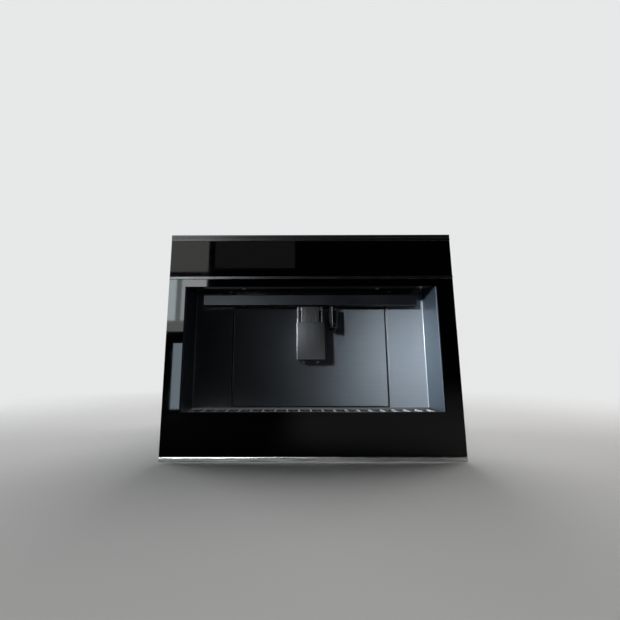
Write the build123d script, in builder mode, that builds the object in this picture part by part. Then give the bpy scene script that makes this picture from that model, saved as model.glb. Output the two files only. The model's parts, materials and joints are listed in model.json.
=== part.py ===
# Built in coffee machine for a cabinet opening 60 cm wide and 45 cm high.
# Millimetres. +X is to the right of someone facing the machine, +Y goes into the
# cabinet, +Z is up. The origin is the middle of the footprint, on the shelf.
# A depth is the distance behind the front face of the glass.
from math import cos, radians, sin
import os

from build123d import *

# ---------------------------------------------------------------- overall size
front_width = 595.0
front_height = 460.0
overall_depth = 475.0
front_y = -overall_depth / 2

# Clearances
pivot_play = 0.06        # radial, round pin in its bore
slide_play = 0.35        # between rail members
seat_gap = 0.3           # a loose piece above its seat
edge_gap = 0.5           # between parts of the front

# Sheet and moulding thickness
sheet = 1.2
moulding = 2.2

# ---------------------------------------------------------------- front
glass_thickness = 4.0
bottom_trim_height = 8.5
sill_height = 83.5
niche_width = 519.0
niche_height = 253.5
lintel_height = 16.5
middle_trim_height = 5.2
top_trim_height = 13.3
top_groove_height = 6.0    # below the top edge
top_groove = 0.8
carrier_depth = 22.0
carrier_inset = 1.5
seal_width = 8.0         # strip that meets the front edge of a cabinet side
seal_height = 1.0
fascia_frame_depth = 8.0

glass_bottom = bottom_trim_height + edge_gap
niche_bottom = glass_bottom + sill_height
niche_top = niche_bottom + niche_height
glass_top = niche_top + lintel_height
middle_trim_bottom = glass_top + edge_gap
fascia_bottom = middle_trim_bottom + middle_trim_height + edge_gap / 2
fascia_top = front_height - top_trim_height - edge_gap / 2

display_width = 150.0
display_height = 46.0
touch_width = 530.0
touch_height = 54.0
touch_thickness = 1.6

# ---------------------------------------------------------------- niche
niche_depth = 76.0
niche_wall = 1.6
bead_radius = 1.4
ceiling_thickness = 3.0
bulkhead_depth = 92.0
panel_gap = 2.5
middle_panel_width = 344.0
lamp_radius = 4.0
lamp_spots = ((143.0, 20.0), (177.0, 52.0))
beam_lamp_radius = 2.5
beam_lamp_spots = (-150.0, -45.0, 45.0, 150.0)

beam_width = 472.0
beam_depth = 27.0
beam_height = 23.0
beam_bottom = 316.1
beam_neck_width = 344.0

# ---------------------------------------------------------------- drip tray
well_floor = 48.0
well_wall = 1.6
sill_top = niche_bottom + 1.0
tray_play = 0.8
tray_wall = 1.8
grille_height = 4.0
grille_top = niche_bottom - 2.0
grille_border = 4.0
bar_pitch = 25.2
cup_bar_width = 4.0
low_bar_width = 2.6
low_bar_drop = 1.2
float_radius = 7.0
float_x = -222.0
float_depth = 42.0

# ---------------------------------------------------------------- service door
door_skin = 2.0
door_height = 219.1
door_bottom = sill_top + 1.2
door_liner_depth = 12.5
door_liner_inset = 3.0
door_wall = 3.0
pivot_radius = 2.0
pivot_inset = 5.5        # from the skin's left edge
pivot_depth = niche_depth + 4.3
pivot_reach = 5.4        # of each pin, inside its bore
duct_radius = 3.5
duct_end = bulkhead_depth + 1.5

# ---------------------------------------------------------------- outlet
outlet_width = 61.0
outlet_height = 80.0
outlet_bottom = 196.0
outlet_front = 34.0
outlet_back = 68.0
outlet_wall = 1.2
outlet_corner = 2.6
outlet_raise = 26.0
outlet_lower = 36.0
manifold_height = 8.0
nozzle_spread = 15.0
nozzle_radius = 4.0
nozzle_length = 6.0
neck_plate_width = 39.0
neck_front = 46.0
neck_back = 57.0
neck_top = beam_bottom - 4.6
neck_bracket_height = 8.0
guide_width = 5.0
guide_play = 0.3

water_nozzle_x = 50.0
water_nozzle_depth = 50.0
water_nozzle_radius = 11.0
water_nozzle_bottom = 260.0
water_duct_height = 298.0

# ---------------------------------------------------------------- carcass
body_half_width = 266.0
base_bottom = 12.0
cover_bottom = 440.0
screw_head_radius = 3.6
screw_head_height = 2.0
screw_radius = 1.6
flange = 15.0
rear_outer = overall_depth - screw_head_height
rear_inner = rear_outer - sheet
side_inner = body_half_width - sheet

# ---------------------------------------------------------------- rails
rail_wall = 1.5
rail_depth = 13.0
rail_height = 45.0
rail_bottom = 8.0
rail_start = 40.0
rail_length = 420.0
middle_rail_length = 400.0
foot_width = 39.0
foot_thickness = 2.0
foot_hole_radius = 2.25
foot_hole_inset = 16.0
foot_hole_end = 40.0

# ---------------------------------------------------------------- inner works
tank_left = -256.0
tank_width = 80.0
tank_start = 250.0
tank_length = 200.0
tank_floor = 232.0
tank_height = 204.0
tank_play = 2.2
tank_lid_thickness = 3.0

hopper_left = 0.0
hopper_width = 190.0
hopper_start = 246.0
hopper_length = 152.0
hopper_floor = 410.0
lid_thickness = 5.0
lid_pin_radius = 1.5
lid_ear = 6.0
lid_barrel_radius = 3.5

grinder_x = 95.0
grinder_depth = 315.0
grinder_bottom = 300.0
grinder_top = 372.0
grinder_radius = 40.0
burr_radius = 30.0
shaft_radius = 6.0
dial_x = 218.0
dial_depth = 300.0

brew_x = 95.0
brew_depth = 170.0
chamber_radius = 26.0
chamber_floor = 120.0
chamber_top = 190.0
spindle_x = 145.0
spindle_radius = 5.0
journal_radius = 4.0
brew_shelf = 98.0
brew_plate = 286.0

fan_x = 190.0
fan_height = 160.0
fan_size = 80.0
fan_depth = 25.0

boiler_radius = 30.0
boiler_height = 140.0
boiler_spots = (-125.0, -55.0)
boiler_depth = 385.0

inlet_x = -215.0
rocker_x = -150.0
rear_port_height = 62.0

pieces = {}


def y_at(depth):
    return front_y + depth


def facing(depth):
    # Upright plane at this depth that looks forwards: minus goes deeper.
    return Plane.XZ.offset(-y_at(depth))


def level(height):
    return Plane.XY.offset(height)


def beside(x):
    return Plane.YZ.offset(x)


def spanned(a0, a1, b0, b1, mode=Mode.ADD):
    with Locations(((a0 + a1) / 2, (b0 + b1) / 2)):
        Rectangle(abs(a1 - a0), abs(b1 - b0), mode=mode)


def block(x0, x1, d0, d1, z0, z1, mode=Mode.ADD):
    # A box between two sides, two depths and two heights.
    with BuildSketch(level(z0)) as outline:
        spanned(x0, x1, y_at(d0), y_at(d1))
    extrude(outline.sketch, amount=z1 - z0, mode=mode)


def rod(x, depth, z0, z1, radius, mode=Mode.ADD):
    # An upright cylinder.
    with BuildSketch(level(z0)) as outline:
        with Locations((x, y_at(depth))):
            Circle(radius)
    extrude(outline.sketch, amount=z1 - z0, mode=mode)


def pin_back(x, z, d0, d1, radius, mode=Mode.ADD):
    # A cylinder that runs from front to back.
    with BuildSketch(facing(d0)) as outline:
        with Locations((x, z)):
            Circle(radius)
    extrude(outline.sketch, amount=-(d1 - d0), mode=mode)


def pin_across(depth, z, x0, x1, radius, mode=Mode.ADD):
    # A cylinder that runs from left to right.
    with BuildSketch(beside(x0)) as outline:
        with Locations((y_at(depth), z)):
            Circle(radius)
    extrude(outline.sketch, amount=x1 - x0, mode=mode)


def tub(x0, x1, d0, d1, z0, z1, wall, floor):
    # An open box with its walls inside the given outline.
    block(x0, x1, d0, d1, z0, z1)
    block(x0 + wall, x1 - wall, d0 + wall, d1 - wall, z0 + floor, z1, mode=Mode.SUBTRACT)


# ================================================================ front parts
opening_half = niche_width / 2 + niche_wall + bead_radius - 0.1

with BuildPart() as front_glass:
    with BuildSketch(facing(0)):
        spanned(-front_width / 2, front_width / 2, glass_bottom, glass_top)
        spanned(-opening_half, opening_half, niche_bottom, niche_top, mode=Mode.SUBTRACT)
    extrude(amount=-glass_thickness)
    outline = front_glass.faces().sort_by(Axis.Y)[0].edges()
    chamfer(outline, 0.5)
pieces["front_glass"] = front_glass

with BuildPart() as fascia_glass:
    with BuildSketch(facing(0)):
        spanned(-front_width / 2, front_width / 2, fascia_bottom, fascia_top)
    extrude(amount=-glass_thickness)
    chamfer(fascia_glass.faces().sort_by(Axis.Y)[0].edges(), 0.5)
pieces["fascia_glass"] = fascia_glass

# One frame holds the fascia glass: a bright strip under it and a dark strip over it.
display_bottom = (fascia_bottom + fascia_top - display_height) / 2
touch_bottom = (fascia_bottom + fascia_top - touch_height) / 2
with BuildPart() as fascia_frame:
    with BuildSketch(beside(-front_width / 2)):
        spanned(y_at(0), y_at(fascia_frame_depth), middle_trim_bottom, front_height)
        spanned(
            y_at(0), y_at(glass_thickness + 0.2),
            fascia_bottom - edge_gap / 2, fascia_top + edge_gap / 2, mode=Mode.SUBTRACT,
        )
        groove_top = front_height - top_groove_height
        spanned(y_at(0), y_at(top_groove), groove_top - top_groove, groove_top,
                mode=Mode.SUBTRACT)
    extrude(amount=front_width)
    with BuildSketch(facing(glass_thickness)):
        spanned(-touch_width / 2 - 1, touch_width / 2 + 1, touch_bottom - 1,
                touch_bottom + touch_height + 1)
    extrude(amount=-fascia_frame_depth, mode=Mode.SUBTRACT)
    front_lines = fascia_frame.edges().filter_by(Axis.X).filter_by_position(
        Axis.Y, y_at(0) - 0.01, y_at(0) + 0.01
    )
    fillet(front_lines, 0.3)
pieces["fascia_frame"] = fascia_frame

with BuildPart() as bottom_trim:
    with BuildSketch(beside(-front_width / 2)):
        spanned(y_at(0), y_at(3.0), 0, bottom_trim_height)
        spanned(y_at(0), y_at(carrier_depth), 0, 2.0)
    extrude(amount=front_width)
    nose = bottom_trim.edges().filter_by(Axis.X).filter_by_position(
        Axis.Y, y_at(0) - 0.01, y_at(0) + 0.01
    )
    fillet(nose, 1.0)
pieces["bottom_trim"] = bottom_trim

# The moulded frame that carries both panes, pocketed for the display and the drip well.
carrier_half = front_width / 2 - carrier_inset
wall_outer = niche_width / 2 + niche_wall
well_outer = wall_outer + 0.2
with BuildPart() as front_carrier:
    with BuildSketch(facing(glass_thickness)):
        spanned(-carrier_half, carrier_half, bottom_trim_height, front_height - carrier_inset)
        spanned(-wall_outer - 0.3, wall_outer + 0.3, niche_bottom,
                niche_top + ceiling_thickness + 0.2, mode=Mode.SUBTRACT)
    extrude(amount=-(carrier_depth - glass_thickness))
    block(-carrier_half, carrier_half, glass_thickness, fascia_frame_depth,
          glass_top, front_height, mode=Mode.SUBTRACT)
    block(-well_outer - 0.3, well_outer + 0.3, glass_thickness + 3.2, carrier_depth,
          well_floor - 0.5, niche_bottom, mode=Mode.SUBTRACT)
    block(-touch_width / 2 - 5, touch_width / 2 + 5, fascia_frame_depth, carrier_depth - 2,
          touch_bottom - 5, touch_bottom + touch_height + 5, mode=Mode.SUBTRACT)
    for side in (-1, 1):
        with BuildSketch(facing(carrier_depth)):
            with Locations((side * (body_half_width + 13), front_height / 2)):
                with GridLocations(1, 60, 1, 6):
                    SlotOverall(44, 14, rotation=90)
        extrude(amount=8, mode=Mode.SUBTRACT)
        block(side * (carrier_half - seal_width), side * carrier_half, carrier_depth,
              carrier_depth + seal_height, bottom_trim_height, front_height - carrier_inset)
pieces["front_carrier"] = front_carrier

with BuildPart() as display_module:
    block(-touch_width / 2, touch_width / 2, fascia_frame_depth, fascia_frame_depth
          + touch_thickness, touch_bottom, touch_bottom + touch_height)
    block(-display_width / 2, display_width / 2, glass_thickness + seat_gap,
          fascia_frame_depth, display_bottom, display_bottom + display_height)
    for x in (-200, -120, 60, 150, 215):
        block(x - 12, x + 12, fascia_frame_depth + touch_thickness, fascia_frame_depth + 4,
              touch_bottom + 12, touch_bottom + 30)
    for x in (-touch_width / 2 + 8, 0, touch_width / 2 - 8):
        for z in (touch_bottom + 6, touch_bottom + touch_height - 6):
            pin_back(x, z, fascia_frame_depth + touch_thickness, carrier_depth - 2, 3)
pieces["display_module"] = display_module

# ================================================================ niche lining
for side, name in ((-1, "niche_left_wall"), (1, "niche_right_wall")):
    with BuildPart() as wall:
        inner = side * niche_width / 2
        block(inner, side * wall_outer, bead_radius, bulkhead_depth, niche_bottom, niche_top)
        rod(side * (wall_outer - 0.4), bead_radius + 0.3, niche_bottom, niche_top, bead_radius)
        for z in (niche_bottom + 30, niche_top - 30):
            block(side * wall_outer, side * (wall_outer + sheet), 60, bulkhead_depth,
                  z - 15, z + 15)
    pieces[name] = wall

with BuildPart() as niche_ceiling:
    block(-wall_outer, wall_outer, glass_thickness + seat_gap, bulkhead_depth,
          niche_top, niche_top + ceiling_thickness)
    for x, depth in lamp_spots:
        for side in (-1, 1):
            rod(side * x, depth, niche_top, niche_top + ceiling_thickness, lamp_radius,
                mode=Mode.SUBTRACT)
pieces["niche_ceiling"] = niche_ceiling

# The well under the grille, and behind it the sill that the back panels stand on.
side_panel_outer = niche_width / 2 - 0.2
well_front = glass_thickness + 3.5
well_inner = well_outer - well_wall
pivot_x = -middle_panel_width / 2 + pivot_inset
with BuildPart() as niche_floor:
    block(-well_outer, well_outer, well_front, niche_depth + well_wall, well_floor,
          niche_bottom)
    block(-well_inner, well_inner, well_front + well_wall, niche_depth,
          well_floor + well_wall, niche_bottom, mode=Mode.SUBTRACT)
    block(-well_outer, well_outer, niche_depth, bulkhead_depth, sill_top - 7, niche_bottom)
    block(-side_panel_outer, side_panel_outer, niche_depth, bulkhead_depth, niche_bottom,
          sill_top)
    for x in (-200, 200):
        block(x - 15, x + 15, 30, 60, base_bottom + sheet, well_floor)
    rod(pivot_x, pivot_depth, sill_top - pivot_reach - 0.6, sill_top,
        pivot_radius + pivot_play, mode=Mode.SUBTRACT)
pieces["niche_floor"] = niche_floor

side_panel_inner = middle_panel_width / 2 + panel_gap
for side, name in ((-1, "left_back_panel"), (1, "right_back_panel")):
    with BuildPart() as back_panel:
        near = side * side_panel_inner
        far = side * side_panel_outer
        block(near, far, niche_depth, bulkhead_depth, sill_top, niche_top)
        block(near + side * sheet, far - side * sheet, niche_depth + sheet, bulkhead_depth,
              sill_top, niche_top, mode=Mode.SUBTRACT)
        front_corners = back_panel.edges().filter_by(Axis.Z).filter_by_position(
            Axis.Y, y_at(niche_depth) - 0.01, y_at(niche_depth) + 0.01
        )
        fillet(front_corners, 0.9)
    pieces[name] = back_panel

beam_front = niche_depth - beam_depth
beam_top = beam_bottom + beam_height
with BuildPart() as light_beam:
    block(-beam_width / 2, beam_width / 2, beam_front, niche_depth, beam_bottom, beam_top)
    edges_in_front = light_beam.edges().filter_by(Axis.X).filter_by_position(
        Axis.Y, y_at(beam_front) - 0.01, y_at(beam_front) + 0.01
    )
    fillet(edges_in_front, 1.2)
    block(-beam_neck_width / 2, beam_neck_width / 2, niche_depth, bulkhead_depth,
          beam_bottom, beam_top)
    block(-beam_width / 2 + 4, beam_width / 2 - 4, beam_front + 3, niche_depth - 3,
          beam_bottom + 5, beam_top, mode=Mode.SUBTRACT)
    for x in beam_lamp_spots:
        rod(x, beam_front + 12, beam_bottom, beam_bottom + 5, beam_lamp_radius,
            mode=Mode.SUBTRACT)
    rod(pivot_x, pivot_depth, beam_bottom, beam_bottom + pivot_reach + 0.6,
        pivot_radius + pivot_play, mode=Mode.SUBTRACT)
pieces["light_beam"] = light_beam

with BuildPart() as niche_lamps:
    for x, depth in lamp_spots:
        for side in (-1, 1):
            rod(side * x, depth, niche_top - 0.6, niche_top + ceiling_thickness,
                lamp_radius)
    for x in beam_lamp_spots:
        rod(x, beam_front + 12, beam_bottom - 0.5, beam_bottom + 5, beam_lamp_radius)
        rod(x, beam_front + 12, beam_bottom + 5, beam_bottom + 7, beam_lamp_radius + 1.5)
pieces["niche_lamps"] = niche_lamps

# ================================================================ drip tray and grille
tray_half = well_inner - tray_play
tray_front = well_front + well_wall + tray_play
tray_back = niche_depth - tray_play
tray_bottom = well_floor + well_wall + seat_gap
grille_bottom = grille_top - grille_height
tray_top = grille_bottom - seat_gap
grille_half = tray_half - 0.4
with BuildPart() as drip_tray:
    tub(-tray_half, tray_half, tray_front, tray_back, tray_bottom, tray_top, tray_wall, 2.0)
    rod(float_x, float_depth, tray_bottom + 2, tray_top - 6, float_radius + 3)
    rod(float_x, float_depth, tray_bottom + 2, tray_top - 6, float_radius + 0.5,
        mode=Mode.SUBTRACT)
    for x in (-120, 0, 120):
        block(x - 1, x + 1, tray_front + tray_wall, tray_back - tray_wall,
              tray_bottom + 2, tray_bottom + 14)
pieces["drip_tray"] = drip_tray

grille_front = tray_front + 0.4
grille_back = tray_back - 0.4
half_bars = int((grille_half - grille_border) / (bar_pitch / 2))
with BuildPart() as drip_grille:
    block(-grille_half, grille_half, grille_front, grille_back, grille_bottom,
          grille_top - low_bar_drop)
    block(-grille_half + grille_border, grille_half - grille_border,
          grille_front + grille_border, grille_back - grille_border,
          grille_bottom, grille_top, mode=Mode.SUBTRACT)
    for i in range(-half_bars, half_bars + 1):
        x = i * bar_pitch / 2
        if i % 2 == 0:
            block(x - cup_bar_width / 2, x + cup_bar_width / 2, grille_front + 1,
                  grille_back - 1, grille_bottom + 0.5, grille_top)
        else:
            block(x - low_bar_width / 2, x + low_bar_width / 2, grille_front + 1,
                  grille_back - 1, grille_bottom + 0.5, grille_top - low_bar_drop)
    rod(float_x, float_depth, grille_bottom, grille_top - low_bar_drop, float_radius + 3.5)
    rod(float_x, float_depth, grille_bottom, grille_top, float_radius + 0.8,
        mode=Mode.SUBTRACT)
pieces["drip_grille"] = drip_grille

with BuildPart() as tray_float:
    rod(float_x, float_depth, tray_bottom + 2 + seat_gap, grille_top - 2, float_radius)
    top_rim = tray_float.edges().group_by(Axis.Z)[-1]
    fillet(top_rim, 1.5)
pieces["tray_float"] = tray_float

# ================================================================ service door
door_top = door_bottom + door_height
door_half = middle_panel_width / 2
liner_half = door_half - door_liner_inset
liner_bottom = door_bottom + 1.8
liner_top = door_top - 1.8
liner_front = niche_depth + door_skin
liner_back = liner_front + door_liner_depth
coffee_duct_height = neck_top - neck_bracket_height / 2
with BuildPart() as service_door_skin:
    block(-door_half, door_half, niche_depth, liner_front, door_bottom, door_top)
    chamfer(service_door_skin.faces().sort_by(Axis.Y)[0].edges(), 0.8)
    pin_back(0, coffee_duct_height, niche_depth - 1, liner_front, duct_radius + 0.2,
             mode=Mode.SUBTRACT)
    pin_back(water_nozzle_x, water_duct_height, niche_depth - 1, liner_front,
             duct_radius + 0.2, mode=Mode.SUBTRACT)
pieces["service_door_skin"] = service_door_skin

with BuildPart() as service_door_liner:
    block(-liner_half, liner_half, liner_front, liner_back, liner_bottom, liner_top)
    block(-liner_half + 4, liner_half - 4, liner_front + door_wall, liner_back,
          liner_bottom + 4, liner_top - 8, mode=Mode.SUBTRACT)
    for x in (-90, -30, 90):
        block(x - 1, x + 1, liner_front + door_wall, liner_back - 2, liner_bottom + 4,
              liner_top - 8)
    block(-liner_half + 4, liner_half - 4, liner_front + door_wall, liner_back - 2,
          205, 207)
    rod(pivot_x, pivot_depth, liner_top, beam_bottom + pivot_reach, pivot_radius)
    rod(pivot_x, pivot_depth, sill_top - pivot_reach, liner_bottom, pivot_radius)
    pin_back(0, coffee_duct_height, liner_front, liner_back, duct_radius + 0.2,
             mode=Mode.SUBTRACT)
    pin_back(water_nozzle_x, water_duct_height, liner_front, liner_back,
             duct_radius + 0.2, mode=Mode.SUBTRACT)
pieces["service_door_liner"] = service_door_liner

# The fixed neck: a plate and two guide bars that the outlet slides on, a bracket
# behind them, and the duct that docks with the brew frame.
outlet_inner = outlet_width / 2 - outlet_wall
guide_outer = outlet_inner - guide_play
neck_bottom = outlet_bottom + outlet_wall + manifold_height + outlet_raise + 2
neck_middle = (neck_front + neck_back) / 2
with BuildPart() as outlet_neck:
    block(-neck_plate_width / 2, neck_plate_width / 2, neck_front, neck_back, neck_bottom,
          neck_top)
    for side in (-1, 1):
        block(side * (guide_outer - guide_width), side * guide_outer, neck_front,
              neck_back, neck_bottom, neck_top)
    upright = outlet_neck.edges().filter_by(Axis.Z)
    fillet(upright, 1.2)
    block(-guide_outer, guide_outer, neck_front + 4, niche_depth,
          neck_top - neck_bracket_height, neck_top)
    pin_back(0, coffee_duct_height, niche_depth, duct_end, duct_radius)
pieces["outlet_neck"] = outlet_neck

manifold_floor = outlet_bottom + outlet_wall
with BuildPart() as outlet_cover:
    block(-outlet_width / 2, outlet_width / 2, outlet_front, outlet_back, outlet_bottom,
          outlet_bottom + outlet_height)
    corners = outlet_cover.edges().filter_by(Axis.Z)
    fillet(corners, outlet_corner)
    lower_rim = outlet_cover.faces().sort_by(Axis.Z)[0].edges()
    fillet(lower_rim, 0.8)
    block(-outlet_inner, outlet_inner, outlet_front + outlet_wall, outlet_back - outlet_wall,
          outlet_bottom + outlet_wall, outlet_bottom + outlet_height, mode=Mode.SUBTRACT)
    for side in (-1, 1):
        rod(side * nozzle_spread, neck_middle, outlet_bottom, outlet_bottom + outlet_wall,
            nozzle_radius + 0.2, mode=Mode.SUBTRACT)
pieces["outlet_cover"] = outlet_cover

with BuildPart() as outlet_nozzles:
    block(-outlet_inner + 2, outlet_inner - 2, outlet_front + outlet_wall + 2,
          outlet_back - outlet_wall - 2, manifold_floor, manifold_floor + manifold_height)
    for side in (-1, 1):
        rod(side * nozzle_spread, neck_middle, outlet_bottom - nozzle_length,
            manifold_floor, nozzle_radius)
        rod(side * nozzle_spread, neck_middle, outlet_bottom - nozzle_length,
            manifold_floor + manifold_height / 2, nozzle_radius - 1.4, mode=Mode.SUBTRACT)
    block(-outlet_inner + 5, outlet_inner - 5, outlet_front + outlet_wall + 5,
          outlet_back - outlet_wall - 5, manifold_floor + manifold_height / 2,
          manifold_floor + manifold_height, mode=Mode.SUBTRACT)
pieces["outlet_nozzles"] = outlet_nozzles

# Hot water nozzle: round body, domed end, a short angled tip to the right.
tip_lean = radians(28)
with BuildPart() as hot_water_nozzle:
    rod(water_nozzle_x, water_nozzle_depth, water_nozzle_bottom, neck_top,
        water_nozzle_radius)
    dome = hot_water_nozzle.edges().group_by(Axis.Z)[0]
    fillet(dome, 7.0)
    top_ring = hot_water_nozzle.edges().group_by(Axis.Z)[-1]
    fillet(top_ring, 2.0)
    pin_back(water_nozzle_x, water_duct_height, water_nozzle_depth, niche_depth, 7.5)
    pin_back(water_nozzle_x, water_duct_height, niche_depth, duct_end, duct_radius)
    tip_plane = Plane(
        origin=(water_nozzle_x + 4, y_at(water_nozzle_depth), water_nozzle_bottom + 9),
        z_dir=(sin(tip_lean), 0, -cos(tip_lean)),
    )
    with BuildSketch(tip_plane):
        Circle(4.4)
    extrude(amount=13, taper=6)
pieces["hot_water_nozzle"] = hot_water_nozzle

# ================================================================ telescopic rails
rail_outer_x = body_half_width + rail_depth
middle_low = rail_bottom + rail_wall + slide_play
middle_high = rail_bottom + rail_height - rail_wall - slide_play
inner_low = middle_low + rail_wall + slide_play
inner_high = middle_high - rail_wall - slide_play
middle_web = rail_outer_x - rail_wall - slide_play
inner_reach = middle_web - rail_wall - slide_play


def channel(web, reach, low, high, start, length, side):
    # A C-section along the depth: its web at one x, its lips reaching to the other.
    step = rail_wall if reach > web else -rail_wall
    block(side * web, side * (web + step), start, start + length, low, high)
    block(side * web, side * reach, start, start + length, low, low + rail_wall)
    block(side * web, side * reach, start, start + length, high - rail_wall, high)


for side, name in ((-1, "left"), (1, "right")):
    with BuildPart() as outer_rail:
        channel(rail_outer_x, body_half_width + 3.5, rail_bottom,
                rail_bottom + rail_height, rail_start, rail_length, side)
        block(side * (rail_outer_x - rail_wall), side * rail_outer_x, rail_start,
              rail_start + rail_length, 0, rail_bottom)
        block(side * (rail_outer_x - foot_width), side * rail_outer_x, rail_start,
              rail_start + rail_length, 0, foot_thickness)
        for depth in (rail_start + foot_hole_end, rail_start + rail_length - foot_hole_end):
            rod(side * (body_half_width - foot_hole_inset), depth, 0, foot_thickness,
                foot_hole_radius, mode=Mode.SUBTRACT)
    pieces[f"{name}_outer_rail"] = outer_rail

    with BuildPart() as inner_rail:
        channel(body_half_width, inner_reach, inner_low, inner_high, rail_start,
                rail_length - 10, side)
    pieces[f"{name}_inner_rail"] = inner_rail

with BuildPart() as middle_rails:
    for side in (-1, 1):
        channel(middle_web, body_half_width + 2.6, middle_low, middle_high,
                rail_start + 5, middle_rail_length, side)
pieces["middle_rails"] = middle_rails

# ================================================================ carcass
with BuildPart() as base_tray:
    tub(-side_inner, side_inner, carrier_depth, rear_inner, base_bottom,
        base_bottom + flange, sheet, sheet)
    with BuildSketch(level(base_bottom)):
        with Locations((125, y_at(350))):
            with GridLocations(14, 90, 10, 2):
                SlotOverall(60, 5, rotation=90)
    extrude(amount=sheet, mode=Mode.SUBTRACT)
pieces["base_tray"] = base_tray

side_screws = ((40, 424), (250, 424), (455, 424), (40, 90), (455, 90))
for side, name in ((-1, "left_side_panel"), (1, "right_side_panel")):
    with BuildPart() as side_panel:
        block(side * side_inner, side * body_half_width, carrier_depth, rear_inner,
              base_bottom, cover_bottom)
        block(side * (side_inner - flange), side * side_inner, carrier_depth, rear_inner,
              cover_bottom - sheet, cover_bottom)
        if side < 0:
            block(-side_inner + flange, -side_inner, tank_start - 5, tank_start
                  + tank_length + 5, cover_bottom - sheet, cover_bottom,
                  mode=Mode.SUBTRACT)
        with BuildSketch(beside(side * side_inner)):
            with Locations((y_at(330), 350)):
                with GridLocations(16, 70, 12, 2):
                    SlotOverall(50, 6, rotation=90)
            with Locations((y_at(160), 350)):
                with GridLocations(16, 70, 4, 2):
                    SlotOverall(50, 6, rotation=90)
        extrude(amount=side * sheet, mode=Mode.SUBTRACT)
        for depth, z in side_screws:
            pin_across(depth, z, side * side_inner, side * body_half_width, screw_radius,
                       mode=Mode.SUBTRACT)
    pieces[name] = side_panel

door_opening_half = liner_half - 4
bulkhead_half = side_inner - sheet - 0.2
with BuildPart() as front_bulkhead:
    with BuildSketch(facing(bulkhead_depth)):
        spanned(-bulkhead_half, bulkhead_half, base_bottom + sheet, cover_bottom - sheet)
        spanned(-door_opening_half, door_opening_half, 102, beam_bottom - 2.6,
                mode=Mode.SUBTRACT)
        with Locations((-200, 395), (0, 395), (200, 395)):
            Rectangle(60, 24, mode=Mode.SUBTRACT)
    extrude(amount=-sheet)
pieces["front_bulkhead"] = front_bulkhead

rear_screws = (
    (-255, 25), (0, 25), (255, 25), (-255, 230), (255, 230), (-255, 428), (0, 428), (255, 428),
)
with BuildPart() as rear_panel:
    with BuildSketch(facing(rear_outer)):
        spanned(-body_half_width, body_half_width, base_bottom, cover_bottom)
        with Locations((-120, 330)):
            with GridLocations(15, 90, 12, 2):
                SlotOverall(70, 6, rotation=90, mode=Mode.SUBTRACT)
        with Locations((fan_x, fan_height)):
            Circle(4.5, mode=Mode.SUBTRACT)
            for ring in (14, 23, 32):
                with PolarLocations(ring, 6):
                    SlotOverall(ring * 0.72, 5, rotation=90, mode=Mode.SUBTRACT)
        with Locations((inlet_x, rear_port_height)):
            Rectangle(30.6, 23.6, mode=Mode.SUBTRACT)
        with Locations((rocker_x, rear_port_height)):
            Rectangle(21.6, 27.6, mode=Mode.SUBTRACT)
        for x, z in rear_screws:
            with Locations((x, z)):
                Circle(screw_radius, mode=Mode.SUBTRACT)
    extrude(amount=sheet)
pieces["rear_panel"] = rear_panel

# Openings in the cover for the tank, the hopper, the ground coffee and the dial.
funnel_depth = 212.0
funnel_length = 38.0
funnel_width = 64.0
tank_right = tank_left + tank_width
tank_end = tank_start + tank_length
hopper_right = hopper_left + hopper_width
hopper_end = hopper_start + hopper_length
cover_top = cover_bottom + sheet
top_screws = ((-240, 60), (0, 60), (240, 60), (-100, 440), (240, 440))
lid_axis_height = cover_top + lid_barrel_radius + 0.8
with BuildPart() as top_cover:
    with BuildSketch(level(cover_bottom)):
        spanned(-body_half_width, body_half_width, y_at(carrier_depth), y_at(rear_outer))
        spanned(tank_left - 3, tank_right + 3, y_at(tank_start - 3), y_at(tank_end + 3),
                mode=Mode.SUBTRACT)
        spanned(hopper_left + 4, hopper_right - 4, y_at(hopper_start + 4),
                y_at(hopper_end - 4), mode=Mode.SUBTRACT)
        with Locations((grinder_x, y_at(funnel_depth))):
            Rectangle(funnel_width - 10, funnel_length - 10, mode=Mode.SUBTRACT)
        with Locations((dial_x, y_at(dial_depth))):
            Circle(6, mode=Mode.SUBTRACT)
        with Locations((-80, y_at(200))):
            with GridLocations(14, 80, 8, 3):
                SlotOverall(60, 5, rotation=90, mode=Mode.SUBTRACT)
        for x, depth in top_screws:
            with Locations((x, y_at(depth))):
                Circle(screw_radius, mode=Mode.SUBTRACT)
    extrude(amount=sheet)
    for x0, x1, depth in (
        (hopper_left, hopper_right, hopper_end + 6),
        (grinder_x - funnel_width / 2, grinder_x + funnel_width / 2,
         funnel_depth + funnel_length / 2 + 1),
    ):
        for x in (x0 - lid_ear, x1):
            block(x, x + lid_ear, depth - 4, depth + 4, cover_top, lid_axis_height + 4)
        pin_across(depth, lid_axis_height, x0 - lid_ear, x1 + lid_ear,
                   lid_pin_radius + pivot_play, mode=Mode.SUBTRACT)
pieces["top_cover"] = top_cover

with BuildPart() as panel_screws:
    for side in (-1, 1):
        for depth, z in side_screws:
            pin_across(depth, z, side * side_inner, side * body_half_width, screw_radius)
            pin_across(depth, z, side * body_half_width,
                       side * (body_half_width + screw_head_height), screw_head_radius)
    for x, z in rear_screws:
        pin_back(x, z, rear_inner, rear_outer, screw_radius)
        pin_back(x, z, rear_outer, rear_outer + screw_head_height, screw_head_radius)
    for x, depth in top_screws:
        rod(x, depth, cover_bottom, cover_top, screw_radius)
        rod(x, depth, cover_top, cover_top + screw_head_height, screw_head_radius)
pieces["panel_screws"] = panel_screws

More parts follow.
